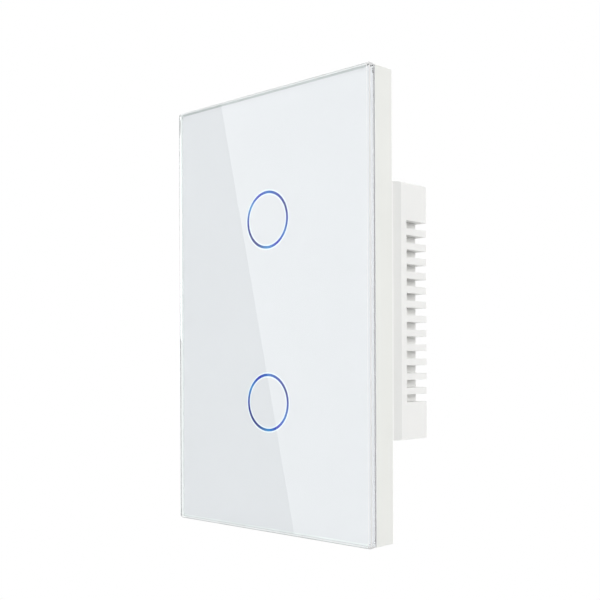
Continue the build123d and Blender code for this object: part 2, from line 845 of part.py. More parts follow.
def make_terminal_block(x):
    """One way. An outer one has an ear, which the casing's rear wall holds in."""
    body = block(x - way_pitch / 2, x + way_pitch / 2, seat_y, block_back_y,
                 block_bottom_z, block_top_z)
    if abs(x) == max(way_places):
        side = 1 if x > 0 else -1
        ear_x = sorted((x, side * (comb_inner_x - block_ear_gap)))
        ear_z = -housing_screw_z + boss_radius + block_ear_gap
        body += block(*ear_x, seat_y, rear_inner_y - block_ear_gap, ear_z, block_top_z)
    body -= block(x - cage_chamber_width / 2, x + cage_chamber_width / 2,
                  seat_y - overrun, chamber_back_y, chamber_bottom_z, chamber_top_z)
    port_front_y = wire_front_y - screw_clearance
    body -= block(x - port_width / 2, x + port_width / 2, port_front_y,
                  port_front_y + port_depth, block_bottom_z - overrun, chamber_bottom_z + overrun)
    slot_half_width = bar_width / 2 + screw_clearance
    body -= block(x - slot_half_width, x + slot_half_width, seat_y - overrun,
                  bar_back_y + screw_clearance, chamber_top_z - overrun, block_top_z + overrun)
    body -= rod(head_well_radius, well_floor_y, block_back_y + overrun, x, way_z)
    return body - rod(shank_hole_radius, chamber_back_y - overrun, well_floor_y + overrun,
                      x, way_z)


def make_contact_bars():
    """Each bar runs through its cage, then turns forward to stand on the board."""
    rise_z = block_top_z + bar_rise
    bars = []
    for x in way_places:
        bar = block(x - bar_width / 2, x + bar_width / 2, bar_front_y, bar_back_y,
                    chamber_bottom_z + bar_end_gap, rise_z)
        leg = block(x - bar_width / 2, x + bar_width / 2, seat_y, bar_back_y,
                    rise_z - bar_thickness, rise_z)
        bars.append(bar + leg)
    return Compound([solid for bar in bars for solid in bar.solids()])


def make_terminal_screw(x):
    head = rod(head_radius, head_front_y, head_back_y, x, way_z)
    head = chamfer(back_edges(head), head_edge)
    screw = head + rod(cage_screw_radius, bar_back_y + bar_gap, head_front_y, x, way_z)
    slot_front_y = head_back_y - head_slot_depth
    across = head_radius + overrun
    for half_x, half_z in ((across, head_slot_width / 2), (head_slot_width / 2, across)):
        screw -= block(x - half_x, x + half_x, slot_front_y, head_back_y + overrun,
                       way_z - half_z, way_z + half_z)
    return screw


def make_terminal_cage(x):
    half_width = cage_width / 2
    inner_half_width = half_width - cage_wall
    cage = block(x - half_width, x + half_width, cage_front_y, cage_top_rest_y,
                 cage_bottom_z, cage_top_z)
    cage -= block(x - inner_half_width, x + inner_half_width, wire_front_y, cage_top_front_y,
                  cage_bottom_z - overrun, cage_top_z + overrun)
    return cage - rod(cage_screw_hole_radius, cage_top_front_y - overrun,
                      cage_top_rest_y + overrun, x, way_z)


save("contact_bars", make_contact_bars())
for number, x in enumerate(way_places, start=1):
    save(f"terminal_block_{number}", make_terminal_block(x))
    save(f"terminal_screw_{number}", make_terminal_screw(x))
    save(f"terminal_cage_{number}", make_terminal_cage(x))

print("depths of the wire space:", round(wire_front_y, 2), "to", round(bar_front_y, 2))
print("cage travel:", cage_travel, "of", round(chamber_back_y - cage_top_rest_y, 2), "free")
print("height of the ways:", round(way_z, 2))
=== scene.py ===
# %% [markdown]
# # A glass touch light switch, dressed for a photograph
# This lesson takes the engineer's solids of a wall switch and gives them the looks of the real
# object: a clear glass plate over a white print, two rings of blue light, and moulded plastic.
# The solids come first and never move. What we add later sits on them, in metres, so a size
# that is 1 mm on the drawing is 0.001 here.

# %% Load the solids as a fixed frame
import json
import math
import bmesh
import bpy
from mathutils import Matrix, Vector

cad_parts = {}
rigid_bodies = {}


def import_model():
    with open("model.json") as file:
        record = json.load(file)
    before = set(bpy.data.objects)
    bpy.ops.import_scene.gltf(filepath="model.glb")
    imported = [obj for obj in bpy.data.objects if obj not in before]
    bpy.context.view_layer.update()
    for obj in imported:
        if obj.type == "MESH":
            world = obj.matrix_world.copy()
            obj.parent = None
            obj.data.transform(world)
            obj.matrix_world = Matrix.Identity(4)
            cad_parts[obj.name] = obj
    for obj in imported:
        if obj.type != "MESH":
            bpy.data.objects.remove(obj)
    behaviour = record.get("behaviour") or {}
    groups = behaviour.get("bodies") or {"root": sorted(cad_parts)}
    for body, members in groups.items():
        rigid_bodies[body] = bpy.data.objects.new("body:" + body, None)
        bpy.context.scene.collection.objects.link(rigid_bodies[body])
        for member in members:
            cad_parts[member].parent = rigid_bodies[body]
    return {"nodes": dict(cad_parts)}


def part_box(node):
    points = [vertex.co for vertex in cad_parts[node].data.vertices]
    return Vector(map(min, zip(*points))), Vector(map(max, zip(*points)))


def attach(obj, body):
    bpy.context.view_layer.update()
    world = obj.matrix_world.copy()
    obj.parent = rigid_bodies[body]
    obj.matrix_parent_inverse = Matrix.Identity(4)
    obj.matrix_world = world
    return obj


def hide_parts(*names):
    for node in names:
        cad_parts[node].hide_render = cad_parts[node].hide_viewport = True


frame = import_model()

scene = bpy.context.scene
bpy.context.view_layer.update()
NODES = frame["nodes"]
MM = 0.001

# %% [markdown]
# ## The camera
# The photograph shows all upright edges parallel, so the camera looks level, and the picture is
# slid upwards on the lens instead of tipping the camera. That slide is the lens shift. The lens
# length, the place and a last quarter of a degree of roll were worked out from the corners of the
# plate, whose proportions we know.

# %% Place the camera
SENSOR_MM, LENS_MM, LENS_SHIFT = 36.0, 57.72, 0.1005
CAMERA_PLACE = (0.1834, -0.1887, -0.0132)
LEVEL, ROLL, TURN = 90, 0.224, 43.51

camera_data = bpy.data.cameras.new("camera")
camera_data.sensor_width = SENSOR_MM
camera_data.lens = LENS_MM
camera_data.shift_y = LENS_SHIFT
camera = bpy.data.objects.new("camera", camera_data)
camera.location = CAMERA_PLACE
camera.rotation_euler = [math.radians(angle) for angle in (LEVEL, ROLL, TURN)]
scene.collection.objects.link(camera)
scene.camera = camera
print("camera", round(camera.location.length, 3), "m from the middle of the switch")

# %% [markdown]
# ## Light and surroundings
# Product photographs of white things are taken in a tent of white cloth. A world that shines
# evenly from all sides is that tent. It is dimmer for the light that falls on surfaces than for
# what the eye, the glass and the metal see of it, so the background is pure white while white
# plastic still keeps its tones.

# %% Colour helper and the white tent
def byte_colour(red, green, blue):
    """A colour as a picture program writes it, 0 to 255, turned into the light it stands for."""
    def linear(value):
        """One of the three parts, turned into light from 0 to 1."""
        value /= 255
        return value / 12.92 if value <= 0.04045 else ((value + 0.055) / 1.055) ** 2.4
    return linear(red), linear(green), linear(blue)


TENT_LIGHT = 0.36
world = bpy.data.worlds.new("white_tent")
scene.world = world
world.use_nodes = True
tree = world.node_tree
sky = tree.nodes["Background"]
sky.inputs["Color"].default_value = (1, 1, 1, 1)
path = tree.nodes.new("ShaderNodeLightPath")
seen = path.outputs["Is Camera Ray"]
for other in ("Is Glossy Ray", "Is Transmission Ray"):
    either = tree.nodes.new("ShaderNodeMath")
    either.operation = "MAXIMUM"
    tree.links.new(seen, either.inputs[0])
    tree.links.new(path.outputs[other], either.inputs[1])
    seen = either.outputs[0]
level = tree.nodes.new("ShaderNodeMapRange")
level.inputs["To Min"].default_value = TENT_LIGHT
tree.links.new(seen, level.inputs["Value"])
tree.links.new(level.outputs["Result"], sky.inputs["Strength"])
scene.view_settings.view_transform = "Standard"
print("tent light on surfaces:", TENT_LIGHT)

# %% [markdown]
# ## Soft lamps
# Five soft lamps outside the tent do the rest. The larger a lamp is, the softer are its shadows.
# The one on the right stands low, as in the photograph: there the upper half of each comb slot
# lies in the shade of the tooth above it, and the lower half is lit. The cloth hides the lamps
# from the glass, so mirror rays don't see them.

# %% Lamps
SWITCH_MIDDLE = Vector((0, 0, 0))


def soft_lamp(name, place, size, watts):
    """A square lamp behind cloth, turned towards the switch."""
    lamp_data = bpy.data.lights.new(name, "AREA")
    lamp_data.shape = "RECTANGLE"
    lamp_data.size, lamp_data.size_y = size, size
    lamp_data.energy = watts
    lamp = bpy.data.objects.new(name, lamp_data)
    lamp.location = place
    lamp.rotation_euler = (SWITCH_MIDDLE - lamp.location).to_track_quat("-Z", "Y").to_euler()
    lamp.visible_glossy = False
    scene.collection.objects.link(lamp)
    return lamp


# Each lamp has its place and size in metres, and its strength in watts.
LAMPS = {"right": ((0.45, 0.0, 0.11), 0.16, 0.78), "front": ((-0.05, -0.90, 0.25), 0.70, 5.0),
         "above": ((0.0, 0.0, 0.60), 0.30, 1.0), "left": ((-0.80, 0.05, 0.20), 0.50, 2.4),
         "behind": ((-0.15, 0.90, 0.30), 0.60, 4.0)}
for side, (place, size, watts) in LAMPS.items():
    lamp = soft_lamp(side + "_lamp", place, size, watts)
    print(lamp.name, watts, "W at", place)

# %% [markdown]
# ## What the glass mirrors
# The glass shows one straight, slanting edge: it mirrors a lit cloth on the right of that line
# and a dark card on the left of it. A mirror picture is found by putting the eye behind the
# mirror, at its mirror place. A line from there through a point of the glass goes on to what
# that point shows, so we send the corners of the two fields on the plate out to the cards.
# The cards are seen only by mirror rays, and shed no light of their own on the switch.

# %% Cards for the reflection
glass_low, glass_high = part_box("glass_panel")
CARD_REACH = 2.6
CARD_TOP, CARD_FOOT, CARD_SIDE = 75, -70, 60
CLOTH_LIGHT, CARD_LIGHT = 1.6, 0.3
EDGE_TOP, EDGE_FOOT = (-17.3, 58.8), (10.5, -58.0)
mirror_eye = Vector((camera.location.x, 2 * glass_low.y - camera.location.y, camera.location.z))


def beyond_glass(x_mm, z_mm):
    """Where the mirror line through a point of the plate's front meets the cards."""
    on_glass = Vector((x_mm * MM, glass_low.y, z_mm * MM))
    return mirror_eye + (on_glass - mirror_eye) * CARD_REACH


def edge_x(z_mm):
    """The slanting edge on the plate, carried on above and below it."""
    share = (EDGE_TOP[1] - z_mm) / (EDGE_TOP[1] - EDGE_FOOT[1])
    return EDGE_TOP[0] + share * (EDGE_FOOT[0] - EDGE_TOP[0])


def reflection_card(name, side_x, strength):
    """A card from the slanting edge out to one side, which only mirror rays see."""
    corners = [(edge_x(CARD_TOP), CARD_TOP), (side_x, CARD_TOP), (side_x, CARD_FOOT),
               (edge_x(CARD_FOOT), CARD_FOOT)]
    data = bpy.data.meshes.new(name)
    data.from_pydata([beyond_glass(*corner) for corner in corners], [], [(0, 1, 2, 3)])
    light = bpy.data.materials.new(name)
    light.use_nodes = True
    light.node_tree.nodes.remove(light.node_tree.nodes["Principled BSDF"])
    shine = light.node_tree.nodes.new("ShaderNodeEmission")
    shine.inputs["Strength"].default_value = strength
    light.node_tree.links.new(shine.outputs[0],
                              light.node_tree.nodes["Material Output"].inputs["Surface"])
    data.materials.append(light)
    card = bpy.data.objects.new(name, data)
    scene.collection.objects.link(card)
    for ray in ("camera", "diffuse", "transmission", "volume_scatter", "shadow"):
        setattr(card, "visible_" + ray, False)
    print(name, "stands", round(-card.data.vertices[0].co.y, 2), "m in front of the wall")


reflection_card("lit_cloth", CARD_SIDE, CLOTH_LIGHT)
reflection_card("dark_card", -CARD_SIDE, CARD_LIGHT)

# %% [markdown]
# ## Materials, the common part
# Every finish starts as one Principled shader, Blender's shader for nearly all surfaces. What
# makes it a certain material is the values of its sockets, and nodes that feed them. Writing
# nodes by hand is long, so a few helpers add a node and fill its inputs in one line.

# %% Nodes in one line
def connect(material, value, socket):
    """Links an output to an input, or writes a plain value into the input."""
    if isinstance(value, bpy.types.NodeSocket):
        material.node_tree.links.new(value, socket)
    else:
        socket.default_value = value


def finish(name, colour, roughness, **settings):
    """A new material. Settings are sockets of the Principled shader, with _ for a space."""
    material = bpy.data.materials.new(name)
    material.use_nodes = True
    shader = material.node_tree.nodes["Principled BSDF"]
    shader.inputs["Base Color"].default_value = (*colour, 1)
    shader.inputs["Roughness"].default_value = roughness
    for socket, value in settings.items():
        shader.inputs[socket.replace("_", " ")].default_value = value
    return material


def node(material, kind, **inputs):
    """Adds a node, with values or links for its inputs by name, with _ for a space."""
    added = material.node_tree.nodes.new(kind)
    for name, value in inputs.items():
        connect(material, value, added.inputs[name.replace("_", " ")])
    return added


def math_node(material, operation, *values):
    """A Math node whose inputs are links or values."""
    made = node(material, "ShaderNodeMath")
    made.operation = operation
    for value, socket in zip(values, made.inputs):
        connect(material, value, socket)
    return made.outputs[0]


def into(material, source, socket):
    """Links an output to a socket of the material's main shader."""
    shader = material.node_tree.nodes["Principled BSDF"]
    material.node_tree.links.new(source, shader.inputs[socket])


print("node helpers ready")

# %% [markdown]
# ## Three layers that make a surface real
# Real surfaces are never one flat colour, so each finish gets two or three layers of noise: a
# broad, faint change of tone, a change of gloss, and a fine grain that bends the light. The
# noise is read in the piece's own coordinates, so it sticks to the piece when that moves. Nearly
# all of Blender's noise lies between 0.3 and 0.7, so tone and gloss are spread over that range.

# %% Patterns, tone, gloss and grain
NOISE_LOW, NOISE_HIGH = 0.3, 0.7


def place_on(material, stretch=(1, 1, 1)):
    """The piece's own coordinates, stretched where a pattern has a direction."""
    coordinates = node(material, "ShaderNodeTexCoord")
    return node(material, "ShaderNodeMapping", Vector=coordinates.outputs["Object"],
                Scale=stretch).outputs["Vector"]


def noise(material, feature_mm, detail=3.0, stretch=(1, 1, 1)):
    """A soft random pattern, 0 to 1, whose blots are about so many millimetres across."""
    made = node(material, "ShaderNodeTexNoise", Vector=place_on(material, stretch),
                Scale=1 / (feature_mm * MM), Detail=detail)
    return made.outputs["Fac"]


def tone(material, pattern, dark, light, low=NOISE_LOW, high=NOISE_HIGH):
    """Colours the surface between two tones by a pattern."""
    ramp = node(material, "ShaderNodeValToRGB", Fac=pattern)
    for element, place, colour in zip(ramp.color_ramp.elements, (low, high), (dark, light)):
        element.position = place
        element.color = (*colour, 1)
    into(material, ramp.outputs["Color"], "Base Color")


def gloss(material, pattern, smooth, rough):
    """Lets the roughness wander between two values."""
    spread = node(material, "ShaderNodeMapRange", Value=pattern, From_Min=NOISE_LOW,
                  From_Max=NOISE_HIGH, To_Min=smooth, To_Max=rough)
    into(material, spread.outputs["Result"], "Roughness")


def relief(material, pattern, height_mm):
    """Bends the light as if the pattern stood so high."""
    bump = node(material, "ShaderNodeBump", Height=pattern, Distance=height_mm * MM)
    into(material, bump.outputs["Normal"], "Normal")


print("pattern helpers ready")

# %% [markdown]
# ## Shade in narrow places
# In the photograph the narrow slots of the housing are darker than the lamps alone make them. A
# node that measures how open a place is, called ambient occlusion, takes some of the colour away
# there. It works mostly on faces that look down, because the underside of each tooth is the
# darkest place in the photograph.

# %% Darken recesses
OPEN, CLOSED = 0.75, 0.15
SHADE_ON_WALLS = 0.05


def normal_of(material):
    """The way a surface faces, in the piece's own axes, as outputs X, Y and Z."""
    coordinates = node(material, "ShaderNodeTexCoord")
    return node(material, "ShaderNodeSeparateXYZ", Vector=coordinates.outputs["Normal"]).outputs


def shade_recesses(material, reach_mm, darkest):
    """Darkens deep, narrow places, most on faces that look down and less on their walls."""
    shader = material.node_tree.nodes["Principled BSDF"]
    tint = shader.inputs["Base Color"].links[0].from_socket
    openness = node(material, "ShaderNodeAmbientOcclusion", Distance=reach_mm * MM)
    openness.only_local = True
    depth = node(material, "ShaderNodeMapRange", Value=openness.outputs["AO"], From_Min=OPEN,
                 From_Max=CLOSED)
    weight = node(material, "ShaderNodeMapRange", Value=normal_of(material)["Z"], From_Min=0.0,
                  From_Max=-1.0, To_Min=SHADE_ON_WALLS)
    loss = math_node(material, "MULTIPLY", depth.outputs["Result"], weight.outputs["Result"])
    loss = math_node(material, "MULTIPLY", loss, 1 - darkest)
    shaded = node(material, "ShaderNodeVectorMath")
    shaded.operation = "SCALE"
    connect(material, tint, shaded.inputs[0])
    connect(material, math_node(material, "SUBTRACT", 1.0, loss), shaded.inputs["Scale"])
    into(material, shaded.outputs["Vector"], "Base Color")


def scaled(colour, factor):
    """A darker or lighter tone of a colour."""
    return tuple(min(1.0, part * factor) for part in colour)


def dress(material, *names):
    """Gives CAD nodes a material."""
    for name in names:
        NODES[name].data.materials.clear()
        NODES[name].data.materials.append(material)


print("recess shade ready")

# %% [markdown]
# ## White moulded plastic
# The frame and the module are moulded from a tough white plastic. The mould is spark eroded, so
# the parts come out with a fine grain that takes the shine away. The grain is a bump a few
# thousandths of a millimetre high, over a slow change of tone as thick and thin walls cool.

# %% White plastic
def moulded_plastic(name, colour):
    """White plastic from a spark-eroded mould."""
    material = finish(name, colour, 0.45, IOR=1.5)
    tone(material, noise(material, 14), scaled(colour, 0.975), colour)
    gloss(material, noise(material, 3), 0.40, 0.52)
    relief(material, noise(material, 0.22, 2), 0.004)
    # Painted shade: the colour is darkened in slots and corners.
    shade_recesses(material, 2.5, 0.2)
    return material


# The housing's white is a little lighter than the frame's.
frame_white = moulded_plastic("frame_white", byte_colour(236, 237, 233))
housing_white = moulded_plastic("housing_white", byte_colour(245, 245, 243))
dress(frame_white, "panel_frame")
dress(housing_white, "module_cover", "rear_housing")
print("white plastic on 3 nodes")

# %% [markdown]
# ## The glass plate
# The real plate is 2 mm of float glass with a ground and polished edge, printed white on its
# back. A box with a see-through material would do, but the eye reads glass by its edges, so the
# plate is lofted from rounded outlines, one for each step of the polished bevel. Its back face
# has three materials: white where the print is bonded to it, blue ink in the two rings, and
# clear glass along the border, where light passes.

# %% Outlines of the plate
def rounded_outline(width, height, radius, steps=6):
    """Points (x, z) round a rectangle with rounded corners, in order."""
    points = []
    for number, (x_side, z_side) in enumerate(((1, 1), (-1, 1), (-1, -1), (1, -1))):
        middle_x = x_side * (width / 2 - radius)
        middle_z = z_side * (height / 2 - radius)
        for step in range(steps + 1):
            turn = math.radians(90 * (number + step / steps))
            points.append((middle_x + radius * math.cos(turn), middle_z + radius * math.sin(turn)))
    return points


def circle_outline(radius, middle_z, steps=128):
    """Points (x, z) round a circle."""
    turns = [2 * math.pi * step / steps for step in range(steps)]
    return [(radius * math.cos(turn), middle_z + radius * math.sin(turn)) for turn in turns]


def add_loop(mesh, outline, y):
    """Adds a closed loop of vertices at one depth, from points in metres."""
    return [mesh.verts.new((x, y, z)) for x, z in outline]


def join_loops(mesh, first, second, material_index=0):
    """Quads between two loops of equal length."""
    count = len(first)
    for number in range(count):
        after = (number + 1) % count
        face = mesh.faces.new((first[number], first[after], second[after], second[number]))
        face.material_index = material_index


def as_object(mesh, name, *materials):
    """Turns a bmesh into an object of the scene, with its faces turned outwards."""
    bmesh.ops.recalc_face_normals(mesh, faces=mesh.faces[:])
    data = bpy.data.meshes.new(name)
    mesh.to_mesh(data)
    mesh.free()
    for material in materials:
        data.materials.append(material)
    made = bpy.data.objects.new(name, data)
    scene.collection.objects.link(made)
    return made


print_low, print_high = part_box("white_print")
plate_width = glass_high.x - glass_low.x
plate_height = glass_high.z - glass_low.z
print("plate", round(plate_width / MM, 1), "x", round(plate_height / MM, 1), "mm")

# %% [markdown]
# ## Clear glass
# Glass mirrors and bends light, and the main shader does both. What a renderer does badly is the
# light that falls through glass on to something: it comes out dark or noisy. So the rays that
# only ask how much light reaches a surface, shadow rays and diffuse rays, meet a plain
# transparent shader with the faint tint of float glass, and all other rays meet real glass.

# %% Clear glass
def mix_surface(material, share, other):
    """Lets another shader take over from the main one, by a share of 0 to 1."""
    tree = material.node_tree
    blend = node(material, "ShaderNodeMixShader", Fac=share)
    tree.links.new(tree.nodes["Principled BSDF"].outputs[0], blend.inputs[1])
    tree.links.new(other.outputs[0], blend.inputs[2])
    tree.links.new(blend.outputs[0], tree.nodes["Material Output"].inputs["Surface"])


GLASS_BEND = 1.52
clear_glass = finish("clear_glass", (0.93, 0.97, 0.965), 0.0, IOR=GLASS_BEND,
                     Transmission_Weight=1.0)
gloss(clear_glass, noise(clear_glass, 20), 0.0, 0.012)
glass_rays = node(clear_glass, "ShaderNodeLightPath").outputs
let_through = node(clear_glass, "ShaderNodeBsdfTransparent", Color=(0.97, 0.985, 0.985, 1))
mix_surface(clear_glass, math_node(clear_glass, "MAXIMUM", glass_rays["Is Shadow Ray"],
                                   glass_rays["Is Diffuse Ray"]), let_through)
print("clear glass bends light by", GLASS_BEND)

# %% [markdown]
# ## Ground glass and the print
# Where a wheel has only ground the glass and no polish followed, it is matt and grey: along the
# two arrises beside the bevel, and on the four corners. On the arrises light and shade are
# painted: how light such a strip looks depends on the way it faces, so its tone is a middle grey
# plus a share of the normal's X and Z. The print is a nearly even white, seen through the glass.

# %% Ground glass and white print
def ground_glass_with_painted_light(name, middle, painted_light_by_x, painted_light_by_z):
    """Matt grey glass with painted light and shade: lighter or darker by the way that it faces."""
    material = finish(name, (middle, middle, middle), 0.5, IOR=GLASS_BEND)
    facing = normal_of(material)
    grey = math_node(material, "MULTIPLY_ADD", facing["X"], painted_light_by_x, middle)
    grey = math_node(material, "MULTIPLY_ADD", facing["Z"], painted_light_by_z, grey)
    grey = math_node(material, "MULTIPLY_ADD", noise(material, 2.5), 0.03, grey)
    into(material, grey, "Base Color")
    gloss(material, noise(material, 1.0), 0.45, 0.6)
    return material


# Painted light and shade: the arrises' grey changes with the way they face.
outer_arris = ground_glass_with_painted_light("outer_arris", 0.62, 0.05, 0.40)
inner_arris = ground_glass_with_painted_light("inner_arris", 0.86, 0.0, -0.60)
ground_corner = ground_glass_with_painted_light("ground_corner", 0.62, 0.0, 0.0)

PRINT = byte_colour(226, 226, 229)
white_print = finish("white_print", PRINT, 0.55, Emission_Strength=1.0)
tone(white_print, noise(white_print, 30), scaled(PRINT, 0.995), scaled(PRINT, 1.005))
dress(white_print, "white_print")
print("ground glass:", outer_arris.name, inner_arris.name, ground_corner.name)

# %% [markdown]
# ## The rings of blue light
# Each ring is a window in the print, closed by a film of translucent blue ink that glows when
# the lamps behind it are on. Seen from outside the light changes round the circle, from indigo
# to sky blue. A few nodes work out the angle round the ring's middle, and a colour ramp turns it
# into light. The stops of the ramp were read off the photograph.

# %% Colour round a ring
RING_HEIGHT = (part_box("light_ring_upper")[0].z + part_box("light_ring_upper")[1].z) / 2
SKY, PALE_SKY = (0.0, 0.17, 0.58), (0.02, 0.28, 0.66)
INDIGO, NAVY, BLUE = (0.0, 0.0, 0.50), (0.0, 0.01, 0.22), (0.0, 0.03, 0.40)
RING_STOPS = [(-180, BLUE), (-150, NAVY), (-122, NAVY), (-90, PALE_SKY), (-60, INDIGO),
              (-32, SKY), (0, BLUE), (25, NAVY), (55, BLUE), (88, SKY), (118, INDIGO),
              (148, PALE_SKY), (180, BLUE)]


def colour_stops(ramp, stops):
    """Fills a colour ramp with (place, colour) pairs."""
    elements = ramp.color_ramp.elements
    while len(elements) < len(stops):
        elements.new(0.5)
    for element, (place, colour) in zip(elements, stops):
        element.position = place
        element.color = (*colour, 1)


def ring_colours(material):
    """The glow's colour, by the angle round the middle of the nearer ring."""
    place = node(material, "ShaderNodeSeparateXYZ", Vector=place_on(material)).outputs
    upper = math_node(material, "GREATER_THAN", place["Z"], 0.0)
    middle = math_node(material, "MULTIPLY_ADD", upper, 2 * RING_HEIGHT, -RING_HEIGHT)
    rise = math_node(material, "SUBTRACT", place["Z"], middle)
    angle = math_node(material, "ARCTAN2", rise, place["X"])
    turn = node(material, "ShaderNodeMapRange", Value=angle, From_Min=-math.pi, From_Max=math.pi)
    ramp = node(material, "ShaderNodeValToRGB", Fac=turn.outputs["Result"])
    colour_stops(ramp, [((degrees + 180) / 360, colour) for degrees, colour in RING_STOPS])
    return ramp.outputs["Color"]


ring_ink = finish("ring_ink", byte_colour(6, 8, 34), 0.4, Emission_Strength=0.9)
into(ring_ink, ring_colours(ring_ink), "Emission Color")
print("rings", round(RING_HEIGHT / MM, 2), "mm from the middle, stops:", len(RING_STOPS))

# %% [markdown]
# ## Light that bleeds, and the light guides
# A little of the light creeps sideways into the white next to the ring. So the print glows
# faintly too, and the glow fades out within a millimetre of the ring's own circle. Behind the
# window stands the light guide, a ring of milky plastic that carries the lamps' light forward.

# %% Print bleed and light guides
RING_OUTER, RING_INNER = 7.74 * MM, 7.02 * MM
BLEED_FULL, BLEED_GONE = 0.34 * MM, 0.95 * MM
BLEED_COLOUR = (0.16, 0.24, 0.26)

print_place = node(white_print, "ShaderNodeSeparateXYZ", Vector=place_on(white_print)).outputs
rise = math_node(white_print, "SUBTRACT", math_node(white_print, "ABSOLUTE", print_place["Z"]),
                 RING_HEIGHT)
squares = math_node(white_print, "MULTIPLY_ADD", rise, rise, math_node(
    white_print, "MULTIPLY", print_place["X"], print_place["X"]))
off_ring = math_node(white_print, "ABSOLUTE", math_node(
    white_print, "SUBTRACT", math_node(white_print, "SQRT", squares),
    (RING_OUTER + RING_INNER) / 2))
bleed = node(white_print, "ShaderNodeMapRange", Value=off_ring, From_Min=BLEED_FULL,
             From_Max=BLEED_GONE, To_Min=1.0, To_Max=0.0)
bleed.interpolation_type = "SMOOTHSTEP"
glow = node(white_print, "ShaderNodeValToRGB", Fac=bleed.outputs["Result"])
colour_stops(glow, [(0.0, (0, 0, 0)), (1.0, BLEED_COLOUR)])
into(white_print, glow.outputs["Color"], "Emission Color")

light_guide = finish("light_guide", (0.75, 0.85, 1.0), 0.35, Subsurface_Weight=0.3,
                     Emission_Strength=0.6)
into(light_guide, ring_colours(light_guide), "Emission Color")
relief(light_guide, noise(light_guide, 0.5), 0.003)
dress(light_guide, "light_ring_upper", "light_ring_lower")
print("two rings lit")

# %% [markdown]
# ## The edge of the plate
# The edge runs from the back face over a fine chamfer, up the side, over the outer arris, the
# polished slope and the inner arris to the front face. Each strip is a row of quads between two
# rounded outlines, so the edge is a list of outlines: how far inside the plate's rim they lie,
# and how deep. Whole strips get their material by number, and the corners by their place.

# %% Loft the edge of the plate
BOND_GAP = 0.02 * MM
PLATE_FRONT, PLATE_BACK = glass_low.y, glass_high.y - BOND_GAP
BEVEL = 0.55 * MM
# How far inside the rim each outline lies, and how deep.
EDGE_OUTLINES = [(0.20 * MM, PLATE_BACK), (0.06 * MM, PLATE_BACK - 0.06 * MM),
                 (0, PLATE_BACK - 0.20 * MM), (0, PLATE_FRONT + BEVEL + 0.12 * MM),
                 (0.20 * MM, PLATE_FRONT + BEVEL - 0.20 * MM),
                 (BEVEL - 0.06 * MM, PLATE_FRONT + 0.06 * MM),
                 (BEVEL - 0.03 * MM, PLATE_FRONT + 0.03 * MM), (BEVEL + 0.10 * MM, PLATE_FRONT)]
PLATE_CORNER, SMALLEST_CORNER, CORNER_REACH = 0.7 * MM, 0.2 * MM, 1.0 * MM
CLEAR, PRINTED, INKED, OUTER_ARRIS, INNER_ARRIS, CORNER = range(6)
# Counted from 0 at the back, strip 3 is the outer arris and strip 6 the inner one.
STRIPS = {3: OUTER_ARRIS, 6: INNER_ARRIS}


def loft_plate_edge(mesh):
    """Adds the strips round the plate. Gives back the outlines of the back and the front."""
    loops = []
    for inset, y in EDGE_OUTLINES:
        outline = rounded_outline(plate_width - 2 * inset, plate_height - 2 * inset,
                                  max(PLATE_CORNER - inset, SMALLEST_CORNER))
        loops.append(add_loop(mesh, outline, y))
    for number, (first, second) in enumerate(zip(loops, loops[1:])):
        join_loops(mesh, first, second, STRIPS.get(number, CLEAR))
    for face in mesh.faces:
        middle = face.calc_center_median()
        if (abs(middle.x) > plate_width / 2 - CORNER_REACH
                and abs(middle.z) > plate_height / 2 - CORNER_REACH):
            face.material_index = CORNER
    return loops[0], loops[-1]


plate_mesh = bmesh.new()
back_rim, front_rim = loft_plate_edge(plate_mesh)
plate_mesh.faces.new(front_rim)
print("faces round the edge:", len(plate_mesh.faces))

# %% [markdown]
# ## The back of the plate
# The back face is a sheet with two round windows. Blender can't make a face with a hole in it,
# so the space between the sheet's outline and the two circles is filled with triangles. The rings
# of ink and the white discs inside them are faces of their own.

# %% Fill the back of the plate
PRINT_CORNER = 0.8 * MM


def fill_plate_back(mesh, rim):
    """Adds the clear border, the white print, and two rings of ink with white discs in them."""
    print_width, print_height = print_high.x - print_low.x, print_high.z - print_low.z
    sheet = add_loop(mesh, rounded_outline(print_width, print_height, PRINT_CORNER), PLATE_BACK)
    join_loops(mesh, rim, sheet, CLEAR)
    rims = []
    for middle in (RING_HEIGHT, -RING_HEIGHT):
        outer = add_loop(mesh, circle_outline(RING_OUTER, middle), PLATE_BACK)
        inner = add_loop(mesh, circle_outline(RING_INNER, middle), PLATE_BACK)
        join_loops(mesh, outer, inner, INKED)
        disc = mesh.faces.new(inner)
        disc.material_index = PRINTED
        rims.append(outer)
    edges = [mesh.edges.get((vertex, loop[(number + 1) % len(loop)]))
             for loop in (sheet, *rims) for number, vertex in enumerate(loop)]
    filled = bmesh.ops.triangle_fill(mesh, edges=edges, use_beauty=True, use_dissolve=False)
    for face in filled["geom"]:
        if isinstance(face, bmesh.types.BMFace):
            face.material_index = PRINTED


fill_plate_back(plate_mesh, back_rim)
glass_plate = as_object(plate_mesh, "glass_plate", clear_glass, white_print, ring_ink,
                        outer_arris, inner_arris, ground_corner)
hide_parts("glass_panel")
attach(glass_plate, "front_panel")
print("glass faces:", len(glass_plate.data.polygons))

# %% [markdown]
# ## Softened edges
# No moulded, stamped or pressed part has a razor edge, and it is the thin bright line along each
# edge that tells the eye how big a thing is. The drawing leaves most edges sharp, so for each
# such part we take a copy of its surface, melt the flat triangles together, and bevel the edges
# that turn by more than 30 degrees. The bevel only takes material away at outer edges, so the
# part keeps its size.

# %% Copy a solid's surface and round its edges
SAME_PLACE = 0.0004 * MM
NO_TURN = math.radians(0.4)
SHARP_TURN = math.radians(30)
CURVED_STRIP = 0.8 * MM


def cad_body(name):
    """The moving body that a CAD node belongs to."""
    return NODES[name].parent.name.removeprefix("body:")


